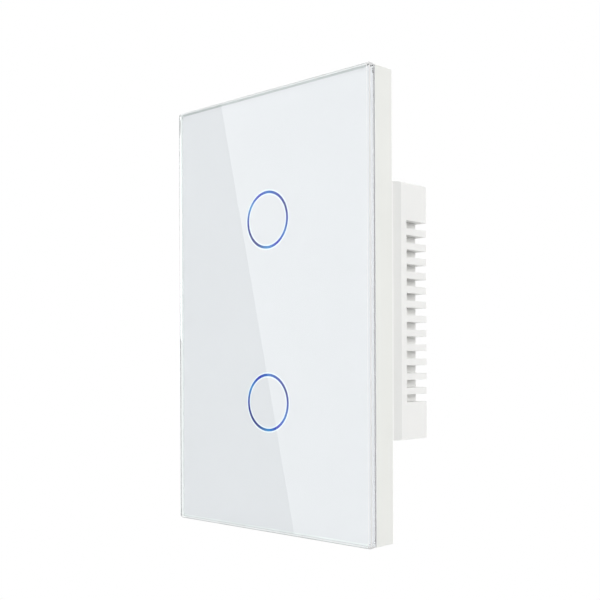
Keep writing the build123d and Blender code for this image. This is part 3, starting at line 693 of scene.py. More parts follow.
def softened(name, edge_mm, material, shortest_mm=0.0, clamp=True):
    """Replaces a CAD node by a copy of its surface with edges rounded by so many millimetres."""
    mesh = bmesh.new()
    mesh.from_mesh(NODES[name].data)
    bmesh.ops.remove_doubles(mesh, verts=mesh.verts[:], dist=SAME_PLACE)
    bmesh.ops.dissolve_limit(mesh, angle_limit=NO_TURN, verts=mesh.verts[:], edges=mesh.edges[:])
    for face in mesh.faces:
        longest = max(edge.calc_length() for edge in face.edges)
        turns = any(edge.is_manifold and NO_TURN < edge.calc_face_angle() < SHARP_TURN
                    for edge in face.edges)
        face.smooth = turns and face.calc_area() < CURVED_STRIP * longest
    sharp = [edge for edge in mesh.edges if edge.is_manifold
             and edge.calc_face_angle() > SHARP_TURN and edge.calc_length() > shortest_mm * MM]
    rounded = bmesh.ops.bevel(mesh, geom=sharp, offset=edge_mm * MM, offset_type="OFFSET",
                              segments=2, profile=0.5, affect="EDGES", clamp_overlap=clamp)
    for face in rounded["faces"]:
        face.smooth = True
    made = as_object(mesh, "soft_" + name, material)
    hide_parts(name)
    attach(made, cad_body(name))
    return made


soft_frame = softened("panel_frame", 0.15, frame_white)
soft_cover = softened("module_cover", 0.12, housing_white, clamp=False)
soft_housing = softened("rear_housing", 0.2, housing_white, shortest_mm=0.35, clamp=False)
print("softened:", [len(piece.data.polygons) for piece in (soft_frame, soft_cover, soft_housing)])

# %% [markdown]
# ## Metals
# The yoke is punched from zinc plated steel, the clamps are nickel plated, and the bars are
# brass. A metal has no colour of its own apart from its mirror colour, so what makes each one
# look real is the gloss: the rolling of the sheet leaves long, faint streaks, and the plating
# a soft mottle over them. Streaks come from noise that is stretched in one direction.

# %% Metal finishes
def metal(name, colour, smooth, rough, grain_mm, height_mm, stretch=(1, 1, 1)):
    """Bare or plated metal, whose grain may run in one direction."""
    material = finish(name, colour, smooth, Metallic=1.0)
    tone(material, noise(material, grain_mm * 12, 4), scaled(colour, 0.89), colour)
    gloss(material, noise(material, grain_mm * 2, 3, stretch), smooth, rough)
    relief(material, noise(material, grain_mm, 3, stretch), height_mm)
    return material


zinc_sheet = metal("zinc_sheet", (0.71, 0.73, 0.75), 0.30, 0.48, 0.5, 0.003, (1, 1, 0.06))
zinc_screw = metal("zinc_screw", (0.74, 0.74, 0.72), 0.22, 0.40, 0.15, 0.003)
nickel_cage = metal("nickel_cage", (0.70, 0.68, 0.63), 0.25, 0.42, 0.3, 0.003, (1, 0.1, 1))
brass_bar = metal("brass_bar", (0.80, 0.60, 0.28), 0.25, 0.42, 0.3, 0.003, (1, 1, 0.1))
spring_steel = metal("spring_steel", (0.72, 0.72, 0.73), 0.15, 0.30, 0.1, 0.002)
tinned = metal("tinned", (0.74, 0.75, 0.76), 0.18, 0.36, 0.2, 0.006)

soft_yoke = softened("mounting_yoke", 0.15, zinc_sheet, clamp=False)
for way in range(1, 5):
    softened(f"terminal_cage_{way}", 0.1, nickel_cage, clamp=False)
softened("contact_bars", 0.1, brass_bar)
dress(spring_steel, "touch_spring_upper", "touch_spring_lower")
print("metal parts dressed")

# %% [markdown]
# ## Screws, turned
# A screw is turned on a lathe: one outline spun round its axis. Its thread is a ridge that climbs
# as it goes round, so each step round the axis gets an outline of its own, in which the ridge has
# moved up a little. The tool leaves flat ends, which are closed by one face each.

# %% Spin outlines into a body
def spun(outlines):
    """A closed body from rings of (radius, y) pairs, one list for each step round the axis."""
    mesh = bmesh.new()
    steps = len(outlines)
    rows = []
    for step, outline in enumerate(outlines):
        turn = 2 * math.pi * step / steps
        rows.append([mesh.verts.new((radius * math.cos(turn), y, radius * math.sin(turn)))
                     for radius, y in outline])
    for step, row in enumerate(rows):
        after = rows[(step + 1) % steps]
        for number in range(len(row) - 1):
            face = mesh.faces.new((row[number], row[number + 1], after[number + 1], after[number]))
            face.smooth = True
    mesh.faces.new([row[0] for row in rows])
    mesh.faces.new([row[-1] for row in rows])
    bmesh.ops.recalc_face_normals(mesh, faces=mesh.faces[:])
    return mesh


print("lathe ready")

# %% [markdown]
# ## Slots, milled
# The driver slot is milled across the finished head, so we cut it out of the spun mesh, as the
# tool does: a Boolean modifier takes one box away for each pass of the mill. Slot and size are
# those of the drawing.

# %% Mill boxes out of a mesh
def box_mesh(low, high):
    """A box between two corners, in metres."""
    mesh = bmesh.new()
    bmesh.ops.create_cube(mesh, size=1.0)
    for vertex in mesh.verts:
        vertex.co = Vector([low[k] + (vertex.co[k] + 0.5) * (high[k] - low[k]) for k in range(3)])
    return mesh


def plain_object(mesh, name):
    """A bmesh as an object without a material, to be used and thrown away."""
    data = bpy.data.meshes.new(name)
    mesh.to_mesh(data)
    mesh.free()
    made = bpy.data.objects.new(name, data)
    scene.collection.objects.link(made)
    return made


def milled(mesh, cutters):
    """The mesh with boxes cut out of it, each a pair of corners in metres."""
    blank = plain_object(mesh, "blank")
    tools = [blank]
    for low, high in cutters:
        tool = plain_object(box_mesh(low, high), "mill")
        cut = blank.modifiers.new("slot", "BOOLEAN")
        cut.operation, cut.solver, cut.object = "DIFFERENCE", "EXACT", tool
        tools.append(tool)
    view = bpy.context.evaluated_depsgraph_get()
    result = bmesh.new()
    result.from_mesh(blank.evaluated_get(view).to_mesh())
    for tool in tools:
        spare = tool.data
        bpy.data.objects.remove(tool)
        bpy.data.meshes.remove(spare)
    return result


print("mill ready")

# %% [markdown]
# ## The outline of a screw
# From the driver's side the outline runs over a slightly domed face, down the rim of the head and
# under it, then along the shank. The thread starts and ends softly, as a rolled thread does, and
# the last bit of the shank may taper.

# %% Outlines of a screw
THREAD_STEPS, ROWS_PER_TURN = 24, 6
HEAD_CHAMFER, UNDER_HEAD = 0.06, 0.02
CORE_SHARE, RIDGE_SHARE, RIDGE_HALF_WIDTH = 0.80, 0.20, 0.36
FADE_OUT, FADE_IN, TAPER_SLOPE, END_SHARE = 0.6, 0.4, 0.4, 0.6


def screw_outlines(head, head_height, dome, shank, length, pitch, tapered=0.0):
    """Outlines of a screw whose head face is at y 0 and whose shank runs towards +y, in mm."""
    rows = int(length / pitch * ROWS_PER_TURN)
    outlines = []
    for step in range(THREAD_STEPS):
        outline = [(head - dome, 0), (head - 0.45 * dome, 0.16 * dome),
                   (head - 0.1 * dome, 0.6 * dome), (head, dome),
                   (head, head_height - HEAD_CHAMFER), (head - HEAD_CHAMFER, head_height)]
        for row in range(rows + 1):
            along = row / ROWS_PER_TURN
            phase = (along - step / THREAD_STEPS) % 1.0
            ridge = max(0.0, 1 - abs(phase - 0.5) / RIDGE_HALF_WIDTH)
            y = head_height + UNDER_HEAD + along * pitch
            left = head_height + length - y
            fade = min(1.0, left / (FADE_OUT * pitch),
                       (y - head_height) / (FADE_IN * pitch) + 0.01)
            core = shank * CORE_SHARE - max(0.0, tapered - left) * TAPER_SLOPE
            outline.append((core + shank * RIDGE_SHARE * ridge * max(0.0, fade), y))
        outline.append((outline[-1][0] * END_SHARE, head_height + length))
        outlines.append([(radius * MM, y * MM) for radius, y in outline])
    return outlines


print("outline of a screw ready, with", THREAD_STEPS, "steps round")

# %% [markdown]
# ## Small screws and closing screws
# Twelve screws have a straight slot: four hold the yoke, four the touch board, and four long ones
# close the module from behind. Each group of four is one node of the drawing, so it becomes one
# mesh here too. A group's box and the radius of its heads give the four centres.

# %% Turn the slotted screws
SLOT_WIDTH, SLOT_DEPTH, TOOL_OVERRUN = 0.5, 0.5, 1.1
DOME_SHARE = 2.4
# Head radius and height, shank radius and length, thread pitch (mm), and the way they point.
SLOTTED_SCREWS = {"yoke_screws": (1.65, 1.1, 0.95, 3.0, 0.45, 1),
                  "touch_board_screws": (1.8, 1.1, 0.95, 5.0, 0.6, -1),
                  "housing_screws": (2.0, 1.3, 1.1, 24.0, 0.9, -1)}


def screw_mesh(outlines, cutters, face_y, x, z, way):
    """One screw, milled, turned to point along way times +Y, and put in its place (mm)."""
    mesh = milled(spun(outlines), cutters)
    for vertex in mesh.verts:
        vertex.co = Vector((vertex.co.x + x * MM, face_y * MM + way * vertex.co.y,
                            vertex.co.z + z * MM))
    return mesh


def gathered(meshes):
    """Several meshes as one."""
    whole = bmesh.new()
    for mesh in meshes:
        part = bpy.data.meshes.new("part")
        mesh.to_mesh(part)
        mesh.free()
        whole.from_mesh(part)
        bpy.data.meshes.remove(part)
    return whole


def put_on(piece, node_name, body):
    """Shows a piece instead of a CAD node, on a moving body."""
    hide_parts(node_name)
    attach(piece, body)


for name, (head, head_height, shank, length, pitch, way) in SLOTTED_SCREWS.items():
    low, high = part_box(name)
    face_y = (low.y if way > 0 else high.y) / MM
    slot = [((-head * MM * TOOL_OVERRUN, -MM, -SLOT_WIDTH / 2 * MM),
             (head * MM * TOOL_OVERRUN, SLOT_DEPTH * MM, SLOT_WIDTH / 2 * MM))]
    outlines = screw_outlines(head, head_height, head_height / DOME_SHARE, shank, length, pitch)
    spots = [(i * (high.x / MM - head), k * (high.z / MM - head)) for i in (-1, 1)
             for k in (-1, 1)]
    group = gathered([screw_mesh(outlines, slot, face_y, x, z, way) for x, z in spots])
    put_on(as_object(group, "turned_" + name, zinc_screw), name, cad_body(name))
    print(name, "turned,", len(spots), "screws")

# %% [markdown]
# ## Terminal screws
# The four screws of the terminals are the ones that a person turns. Their heads are wider, with a
# cross slot that takes a flat driver too, and they end in a short taper. Each one rides on a body
# of its own, because it turns in its block while its cage rises.

# %% Turn the terminal screws
CLAMP_HEAD, CLAMP_HEAD_HEIGHT, CLAMP_DOME, CLAMP_SHANK = 2.8, 1.8, 0.35, 1.7
CLAMP_PITCH, CLAMP_TAPER = 0.8, 0.5
CROSS_HALF, CROSS_DEPTH = 0.4 * MM, 0.9 * MM
CROSS_REACH = CLAMP_HEAD * MM * TOOL_OVERRUN
CROSS = [((-CROSS_REACH, -MM, -CROSS_HALF), (CROSS_REACH, CROSS_DEPTH, CROSS_HALF)),
         ((-CROSS_HALF, -MM, -CROSS_REACH), (CROSS_HALF, CROSS_DEPTH, CROSS_REACH))]


def box_in_mm(name):
    """The corners of a node's box and its middle, in millimetres."""
    low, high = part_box(name)[0] / MM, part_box(name)[1] / MM
    return low, high, (low + high) / 2


for way in range(1, 5):
    name = f"terminal_screw_{way}"
    low, high, middle = box_in_mm(name)
    outlines = screw_outlines(CLAMP_HEAD, CLAMP_HEAD_HEIGHT, CLAMP_DOME, CLAMP_SHANK,
                              high.y - low.y - CLAMP_HEAD_HEIGHT, CLAMP_PITCH, CLAMP_TAPER)
    screw = as_object(screw_mesh(outlines, CROSS, high.y, middle.x, middle.z, -1),
                      f"clamp_screw_{way}", zinc_screw)
    put_on(screw, name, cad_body(name))
print("terminal screws turned, with", len(screw.data.polygons), "faces each")

# %% [markdown]
# ## Where one part has two materials
# A fuse is a ceramic tube with metal caps, and a plug is black plastic with metal pins. Each is
# one mesh, so the material itself has to know where it is. It reads its own coordinates, makes
# a mask out of them, and turns to metal where the mask is 1.

# %% Masks from the place on a piece
def axis_of(material, axis):
    """One coordinate of the piece, in metres."""
    split = node(material, "ShaderNodeSeparateXYZ", Vector=place_on(material))
    return split.outputs[axis]


def past(material, axis, edge_mm):
    """1 where a coordinate is beyond an edge, and 0 before it."""
    return math_node(material, "GREATER_THAN", axis_of(material, axis), edge_mm * MM)


def away_from(material, axis, middle_mm, edge_mm):
    """1 where a coordinate is farther than so much from a middle."""
    offset = math_node(material, "SUBTRACT", axis_of(material, axis), middle_mm * MM)
    return math_node(material, "GREATER_THAN", math_node(material, "ABSOLUTE", offset),
                     edge_mm * MM)


def opposite(material, mask):
    """1 where the mask is 0."""
    return math_node(material, "SUBTRACT", 1.0, mask)


def both(material, first, second):
    """1 where two masks are 1."""
    return math_node(material, "MULTIPLY", first, second)


def repaint(material, mask, colour, roughness=None, metallic=False):
    """Another colour where the mask is 1, and perhaps another gloss, or metal."""
    shader = material.node_tree.nodes["Principled BSDF"]
    # A Mix node has a pair of inputs for each kind of value: 2 and 3 for numbers, 6 and 7 for
    # colours, and outputs 0 and 2 to match.
    blend = node(material, "ShaderNodeMix", Factor=mask)
    blend.data_type = "RGBA"
    connect(material, shader.inputs["Base Color"].links[0].from_socket, blend.inputs[6])
    connect(material, (*colour, 1), blend.inputs[7])
    into(material, blend.outputs[2], "Base Color")
    if roughness is not None:
        even = node(material, "ShaderNodeMix", Factor=mask)
        connect(material, shader.inputs["Roughness"].links[0].from_socket, even.inputs[2])
        connect(material, roughness, even.inputs[3])
        into(material, even.outputs[0], "Roughness")
    if metallic:
        into(material, mask, "Metallic")


print("mask tools ready")

# %% [markdown]
# ## Other plastics
# Inside the module nearly every part is a moulded plastic or a resin. They differ in colour, in
# gloss and in how coarse the mould was, so one function with those numbers makes them all. Its
# three layers are the same as those of the white plastic: tone, gloss and grain.

# %% A plastic of any kind
def plastic(name, colour, smooth, rough, grain_mm=0.25, height_mm=0.004, **settings):
    """Moulded plastic with its own tone, gloss and grain."""
    material = finish(name, colour, smooth, IOR=1.5, **settings)
    tone(material, noise(material, 5), scaled(colour, 0.90), colour)
    gloss(material, noise(material, 1.5), smooth, rough)
    relief(material, noise(material, grain_mm, 2), height_mm)
    return material


nylon_black = plastic("nylon_black", (0.02, 0.02, 0.022), 0.4, 0.55)
resin_black = plastic("resin_black", (0.018, 0.018, 0.020), 0.35, 0.5, 0.12, 0.004)
print("black plastics:", nylon_black.name, resin_black.name)

# %% [markdown]
# ## The two circuit boards
# A board is glass fibre in resin, copper on both faces, and a green lacquer over all but the
# solder pads. The copper tracks lie under the lacquer, where they show as paler lines that
# stand up a few hundredths of a millimetre. On the cut edges one sees the tan fibre itself.
# Two grids of bricks, broken up by noise, make believable tracks, and the cells of a Voronoi
# pattern place the vias.

# %% Circuit board finish
LACQUER, LACQUER_ON_TRACK = (0.015, 0.14, 0.055), (0.035, 0.24, 0.10)
TINNED_VIA, BARE_FIBRE = (0.72, 0.73, 0.72), (0.42, 0.36, 0.16)
VIA_SPACING_MM, VIA_SHARE = 3.1, 0.11


def circuit_board(name, track_mm, seed):
    """Green lacquer over tracks, with tinned vias, and tan fibre on the cut edges."""
    material = finish(name, LACQUER, 0.3, IOR=1.5)
    place = node(material, "ShaderNodeSeparateXYZ", Vector=place_on(material)).outputs
    flat = node(material, "ShaderNodeCombineXYZ", X=place["X"], Y=place["Z"])
    swapped = node(material, "ShaderNodeCombineXYZ", X=place["Z"], Y=place["X"])
    grids = []
    for number, plane in enumerate((flat, swapped)):
        grid = node(material, "ShaderNodeTexBrick", Vector=plane.outputs[0],
                    Scale=1 / (track_mm * MM), Mortar_Size=0.035, Mortar_Smooth=0.1,
                    Brick_Width=2.3 - 0.6 * number, Row_Height=0.34 + 0.2 * number)
        grid.offset = 0.35 + 0.2 * number
        grids.append(grid.outputs["Fac"])
    chosen = math_node(material, "GREATER_THAN", noise(material, track_mm * 2.5 + seed, 1), 0.5)
    tracks = math_node(material, "ADD", both(material, grids[0], chosen),
                       both(material, grids[1], opposite(material, chosen)))
    tone(material, tracks, LACQUER, LACQUER_ON_TRACK, 0.2, 0.8)
    gloss(material, noise(material, 2), 0.22, 0.36)
    cells = node(material, "ShaderNodeTexVoronoi", Vector=flat.outputs[0],
                 Scale=1 / (VIA_SPACING_MM * MM), Randomness=0.55)
    vias = math_node(material, "LESS_THAN", cells.outputs["Distance"], VIA_SHARE)
    repaint(material, vias, TINNED_VIA, 0.25, metallic=True)
    front_or_back = math_node(material, "ABSOLUTE", normal_of(material)["Y"])
    repaint(material, math_node(material, "LESS_THAN", front_or_back, 0.5), BARE_FIBRE, 0.6)
    relief(material, math_node(material, "ADD", tracks, noise(material, 0.4, 2)), 0.02)
    return material


touch_lacquer = circuit_board("touch_lacquer", 2.4, 1.0)
mains_lacquer = circuit_board("mains_lacquer", 4.2, 3.0)
for name, lacquer in (("touch_board", touch_lacquer), ("power_board", mains_lacquer)):
    softened(name, 0.05, lacquer)
print("two boards under lacquer")

# %% [markdown]
# ## Solder joints
# Where a wire comes through a board the solder climbs it in a small cone with hollowed sides. The
# cone is turned like a screw, from an outline that also holds the cut end of the wire. Each part
# of the mains board has its pins at its own places round its middle.

# %% Solder cones
BOARD_FRONT, SEAT = [corner.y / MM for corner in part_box("power_board")]
CONE_STEPS = 14
CONE = [(1.0, 0.0), (0.62, -0.10), (0.42, -0.30), (0.34, -0.58), (0.30, -0.62), (0.24, -0.85),
        (0.12, -0.88)]
RELAY_PINS = ((-5.5, -8), (5.5, -8), (0, 8), (-5.5, 8), (5.5, 8))
PINS = {"relay_left": RELAY_PINS, "relay_right": RELAY_PINS, "film_capacitor": ((-5, 0), (5, 0)),
        "varistor": ((-2.2, 0), (2.2, 0)), "fuse": ((-3.4, 0), (3.4, 0)),
        "electrolytic_capacitor": ((-1.75, 0), (1.75, 0)), "small_capacitor": ((-1, 0), (1, 0)),
        "bridge_rectifier": ((-2.5, -1.3), (2.5, -1.3), (-2.5, 1.3), (2.5, 1.3)),
        "transformer_bobbin": ((-3.5, -3), (0, -3), (3.5, -3), (-3.5, 3), (0, 3), (3.5, 3))}
BARS, BAR_PIN_INSET = (-13.5, -4.5, 4.5, 13.5), 0.5


def turned(outline, steps):
    """A body turned about the Y axis, from (radius, y) pairs in mm."""
    return spun([[(radius * MM, y * MM) for radius, y in outline] for _ in range(steps)])


def moved(mesh, x, z):
    """The mesh, moved by so many millimetres along X and Z."""
    for vertex in mesh.verts:
        vertex.co.x += x * MM
        vertex.co.z += z * MM
    return mesh


joints = []
for name, pins in PINS.items():
    middle = box_in_mm(name)[2]
    joints += [(middle.x + x, middle.z + z) for x, z in pins]
bar_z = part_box("contact_bars")[1].z / MM - BAR_PIN_INSET
joints += [(x + side, bar_z) for x in BARS for side in (-1.0, 1.0)]
cone = [(radius, BOARD_FRONT + y) for radius, y in CONE]
solder = as_object(gathered([moved(turned(cone, CONE_STEPS), x, z) for x, z in joints]),
                   "solder_joints", tinned)
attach(solder, "switch_module")
print("solder joints:", len(joints))

# %% [markdown]
# ## The touch chip
# The chip that reads the keys is a block of black resin on bent metal legs. A leg leaves the side
# of the block half way up, bends down and lies flat on the board, where solder holds its foot. A
# strip of four corners is carried along that path. The rectifier is cast in the same resin.

# %% Chip and legs
LEG_THICK, LEG_HALF = 0.13, 0.16
LEG_PATH = [(0, 0.5), (0.35, 0.5), (0.55, LEG_THICK), (1.1, LEG_THICK)]
FIRST_LEG, LEG_PITCH, LEGS_A_SIDE = 0.7, 0.8, 8
TOUCH_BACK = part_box("touch_board")[1].y / MM
softened("touch_chip", 0.05, resin_black)
softened("bridge_rectifier", 0.08, resin_black)
chip_low, chip_high, _ = box_in_mm("touch_chip")


def chip_leg(side, z):
    """A leg that leaves the chip's side, bends down and lies flat on the board (mm)."""
    edge = chip_high.x if side > 0 else chip_low.x
    section = ((0, -LEG_HALF), (0, LEG_HALF), (-LEG_THICK, LEG_HALF), (-LEG_THICK, -LEG_HALF))
    mesh = bmesh.new()
    rows = []
    for out, up in LEG_PATH:
        x = edge + side * out
        rows.append([mesh.verts.new((x * MM, (TOUCH_BACK + up + y) * MM, (z + across) * MM))
                     for y, across in section])
    for row, after in zip(rows, rows[1:]):
        join_loops(mesh, row, after)
    mesh.faces.new(rows[0])
    mesh.faces.new(rows[-1])
    bmesh.ops.recalc_face_normals(mesh, faces=mesh.faces[:])
    return mesh


leg_spots = [(side, chip_low.z + FIRST_LEG + number * LEG_PITCH) for side in (-1, 1)
             for number in range(LEGS_A_SIDE)]
legs = as_object(gathered([chip_leg(side, z) for side, z in leg_spots]), "chip_legs", tinned)
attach(legs, "switch_module")
print("chip legs:", len(leg_spots))

# %% [markdown]
# ## Small parts on the touch board
# The little parts round the chip are ceramic blocks with tinned ends. The ends are a hair wider
# and higher than the block, as the real ones are, because they are dipped on to it.

# %% Ceramic parts
SMALL_SPOTS = [(-9, 12), (-9, 9), (-9, 6), (9, 12), (9, 9), (9, 6), (-4, 15), (0, 15), (4, 15),
               (-4, 0.5), (4, 0.5), (-13, -4), (13, -4), (-13, -12), (13, -12)]
END_OFFSET, BLOCK_EDGE = 0.82, 0.05
BLOCK_SIZE, END_SIZE = (0.62, 0.38, 0.45), (0.22, 0.42, 0.5)
ceramic_part = plastic("ceramic_part", (0.30, 0.21, 0.13), 0.4, 0.55, 0.1, 0.003)


def small_block(x, z, half_length, half_width, height):
    """A rounded block lying on the touch board (mm)."""
    mesh = box_mesh([(x - half_length) * MM, TOUCH_BACK * MM, (z - half_width) * MM],
                    [(x + half_length) * MM, (TOUCH_BACK + height) * MM, (z + half_width) * MM])
    bmesh.ops.bevel(mesh, geom=mesh.edges[:], offset=BLOCK_EDGE * MM, segments=1, affect="EDGES")
    return mesh


blocks = gathered([small_block(x, z, *BLOCK_SIZE) for x, z in SMALL_SPOTS])
ends = gathered([small_block(x + side * END_OFFSET, z, *END_SIZE)
                 for x, z in SMALL_SPOTS for side in (-1, 1)])
for mesh, name, material, slot_name in ((blocks, "small_parts", ceramic_part, "chip_black"),
                                        (ends, "small_part_ends", tinned, "zinc_screw")):
    piece = as_object(mesh, name, material)
    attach(piece, "switch_module")
print("small parts:", len(SMALL_SPOTS))

# %% [markdown]
# ## The lamps' shade and the plug joint
# The shade is a plate of white plastic that keeps the blue light of each ring in a channel of
# its own. Each lamp is a drop of clear resin over a blue chip. The plug is black nylon around
# gold flashed pins: the pins are part of the same mesh, and stand out behind the body.

# %% Shade, lamps and plug
GOLD, PINS_START = (0.86, 0.64, 0.28), 2.23
LAMP_DEEP, LAMP_BRIGHT = (0.02, 0.10, 0.75), (0.10, 0.35, 1.0)

shade_white = plastic("shade_white", byte_colour(238, 238, 234), 0.45, 0.55)
softened("light_shade", 0.1, shade_white)

lamp_resin = plastic("lamp_resin", (0.55, 0.68, 0.95), 0.12, 0.2, 0.3, 0.002,
                     Emission_Strength=1.2)
lamp_glow = node(lamp_resin, "ShaderNodeValToRGB", Fac=noise(lamp_resin, 0.8, 2))
colour_stops(lamp_glow, [(NOISE_LOW, LAMP_DEEP), (NOISE_HIGH, LAMP_BRIGHT)])
into(lamp_resin, lamp_glow.outputs["Color"], "Emission Color")
softened("ring_leds", 0.08, lamp_resin)

nylon_pins = plastic("nylon_pins", (0.02, 0.02, 0.022), 0.4, 0.55)
repaint(nylon_pins, past(nylon_pins, "Y", PINS_START), GOLD, 0.25, metallic=True)
softened("board_header", 0.06, nylon_pins, clamp=False)
softened("board_socket", 0.06, nylon_black, clamp=False)
print("shade, lamps and plug dressed")

# %% [markdown]
# ## Relays
# A relay's case is a blue box that is slipped over its works and sealed to a base with resin.
# One sees the base as a step round the foot, and on top a small nib that is cut off when the
# relay may breathe. The case is lofted from rounded outlines, as the glass was.

# %% Relay cases
RELAY_CORNER, LEAST_CORNER = 0.8, 0.15
NIB_STEPS, NIB_PLACE = 24, (-5.2, -7.2)
# Inset and height of each outline (mm): first the base, over the seat, then the case, below
# the top.
BASE_LEVELS = [(0.05, 0), (0, 0.05), (0, 1.1), (0.05, 1.15), (0.18, 1.15)]
CASE_LEVELS = [(0.18, 0.75), (0.25, 0.5), (0.42, 0.32), (0.65, 0.25)]
NIB = [(0.9, 0.25), (0.85, 0.05), (0.75, 0), (0.3, 0)]
relay_blue = plastic("relay_blue", (0.012, 0.085, 0.36), 0.22, 0.34, 0.5, 0.003)


def lofted_box(name, levels, corner_mm):
    """A box standing off the board. Levels are (inset, y) in mm, the inset from the node's box."""
    low, high, middle = box_in_mm(name)
    mesh = bmesh.new()
    loops = []
    for inset, y in levels:
        outline = rounded_outline(high.x - low.x - 2 * inset, high.z - low.z - 2 * inset,
                                  max(corner_mm - inset, LEAST_CORNER))
        loops.append(add_loop(mesh, [((x + middle.x) * MM, (z + middle.z) * MM)
                                     for x, z in outline], y * MM))
    for first, second in zip(loops, loops[1:]):
        join_loops(mesh, first, second)
    mesh.faces.new(loops[0])
    mesh.faces.new(loops[-1])
    return mesh


for name in ("relay_left", "relay_right"):
    _, high, middle = box_in_mm(name)
    levels = [(inset, SEAT + y) for inset, y in BASE_LEVELS]
    levels += [(inset, high.y - y) for inset, y in CASE_LEVELS]
    nib = turned([(radius, high.y - y) for radius, y in NIB], NIB_STEPS)
    nib = moved(nib, middle.x + NIB_PLACE[0], middle.z + NIB_PLACE[1])
    case = gathered([lofted_box(name, levels, RELAY_CORNER), nib])
    put_on(as_object(case, "case_" + name, relay_blue), name, "switch_module")
print("two relays stand on the board")

# %% [markdown]
# ## Capacitors
# An electrolytic capacitor is an aluminium can in a shrunk plastic sleeve. The sleeve curls in
# over the rim, the top is bare metal with a cross pressed into it, which splits first when the
# can fails, and a groove near the foot holds the rubber bung. The pale stripe marks the minus
# side. Sleeve, stripe and bare top are one material that knows the can's middle. The film
# capacitor is a plain yellow box.

# %% Sleeve of a can
SLEEVE, STRIPE, BARE_TOP = (0.012, 0.016, 0.06), (0.52, 0.55, 0.60), (0.78, 0.79, 0.80)
STRIPE_MIDDLE, STRIPE_HALF = 1.2, 0.32
CURL_WIDTH, CURL_DEPTH = 0.65, 0.4


def can_sleeve(name, middle, radius, top):
    """Sleeve with a stripe on one side, and bare aluminium inside the curled rim."""
    material = plastic("sleeve_" + name, SLEEVE, 0.25, 0.36, 0.5, 0.004)
    x = math_node(material, "SUBTRACT", axis_of(material, "X"), middle.x * MM)
    z = math_node(material, "SUBTRACT", axis_of(material, "Z"), middle.z * MM)
    from_stripe = math_node(material, "ABSOLUTE", math_node(
        material, "SUBTRACT", math_node(material, "ARCTAN2", z, x), STRIPE_MIDDLE))
    repaint(material, math_node(material, "LESS_THAN", from_stripe, STRIPE_HALF), STRIPE)
    squares = math_node(material, "MULTIPLY_ADD", x, x, math_node(material, "MULTIPLY", z, z))
    inside = math_node(material, "LESS_THAN", squares, ((radius - CURL_WIDTH) * MM) ** 2)
    bare = both(material, inside, past(material, "Y", top - CURL_DEPTH))
    repaint(material, bare, BARE_TOP, 0.3, metallic=True)
    return material


print("sleeve ready")

# %% Capacitor cans and box
CAN_STEPS = 48
# How far inside the can's radius, and how high over the seat or below the top (mm).
CAN_FOOT = [(0.3, 0), (0.05, 0.15), (0, 0.5), (0, 1.3), (0.12, 1.55), (0.25, 1.75), (0.12, 1.95),
            (0, 2.2)]
CAN_RIM = [(0, 0.45), (0.10, 0.2), (0.28, 0.04), (0.5, 0), (0.62, 0.03), (0.7, 0.25)]
TOP_CENTRE, TOP_DEPTH = 0.4, 0.25
VENT_REACH, VENT_HALF, VENT_DEPTH = 0.62, 0.09 * MM, 0.38


def make_can(name, radius):
    """A can with a crimped foot, a curled rim and a cross in its top, instead of a CAD node."""
    _, high, middle = box_in_mm(name)
    top = high.y
    outline = [(radius - inset, SEAT + y) for inset, y in CAN_FOOT]
    outline += [(radius - inset, top - y) for inset, y in CAN_RIM]
    outline.append((TOP_CENTRE, top - TOP_DEPTH))
    arm, depth = radius * VENT_REACH * MM, (top - VENT_DEPTH) * MM
    cuts = [((-arm, depth, -VENT_HALF), (arm, top * MM, VENT_HALF)),
            ((-VENT_HALF, depth, -arm), (VENT_HALF, top * MM, arm))]
    can = moved(milled(turned(outline, CAN_STEPS), cuts), middle.x, middle.z)
    put_on(as_object(can, "can_" + name, can_sleeve(name, middle, radius, top)), name,
           "switch_module")


make_can("electrolytic_capacitor", 4.0)
make_can("small_capacitor", 2.5)
film_yellow = plastic("film_yellow", (0.78, 0.52, 0.04), 0.3, 0.42, 0.4, 0.006)
dress(film_yellow, "film_capacitor")
print("capacitors dressed")

# %% [markdown]
# ## Varistor, fuse and transformer
# The varistor is a disc dipped in blue resin, so its coat is a little lumpy, and its legs are
# bare. The fuse is a ceramic tube between two metal caps. The transformer's core is pressed
# ferrite, grey black and dull; its coil is wound on a plastic tube and taped in yellow film,
# under which the turns of wire still show as fine ribs.

# %% The other mains parts
BARE_LEG, FUSE_CAP = (0.74, 0.75, 0.76), (0.74, 0.74, 0.72)
COAT_START, CAP_START = SEAT + 1.42, 2.5
TURN_WIDTH_MM = 2.2

dipped_blue = plastic("dipped_blue", (0.02, 0.13, 0.42), 0.25, 0.4, 1.2, 0.05)
repaint(dipped_blue, opposite(dipped_blue, past(dipped_blue, "Y", COAT_START)), BARE_LEG, 0.25,
        metallic=True)
dress(dipped_blue, "varistor")

fuse_tube = plastic("fuse_tube", (0.80, 0.77, 0.68), 0.35, 0.5, 0.3, 0.004)
repaint(fuse_tube, away_from(fuse_tube, "X", box_in_mm("fuse")[2].x, CAP_START), FUSE_CAP, 0.25,
        metallic=True)
dress(fuse_tube, "fuse")

pressed_core = plastic("pressed_core", (0.035, 0.035, 0.038), 0.55, 0.75, 0.15, 0.02)
softened("transformer_core", 0.2, pressed_core)
softened("transformer_bobbin", 0.08, nylon_black)

coil_tape = plastic("coil_tape", (0.72, 0.50, 0.05), 0.18, 0.3, 0.6, 0.004)
turns = node(coil_tape, "ShaderNodeTexWave", Vector=place_on(coil_tape),
             Scale=1 / (TURN_WIDTH_MM * MM), Distortion=0.6)
turns.bands_direction = "Z"
relief(coil_tape, turns.outputs["Fac"], 0.04)
softened("transformer_winding", 0.1, coil_tape)
print("mains parts dressed")

# %% [markdown]
# ## Terminal blocks
# A terminal block must not burn, so its plastic is full of mineral: a duller, slightly warmer
# white than the case. Its ports are deep and narrow, so they get the shade of recesses too.

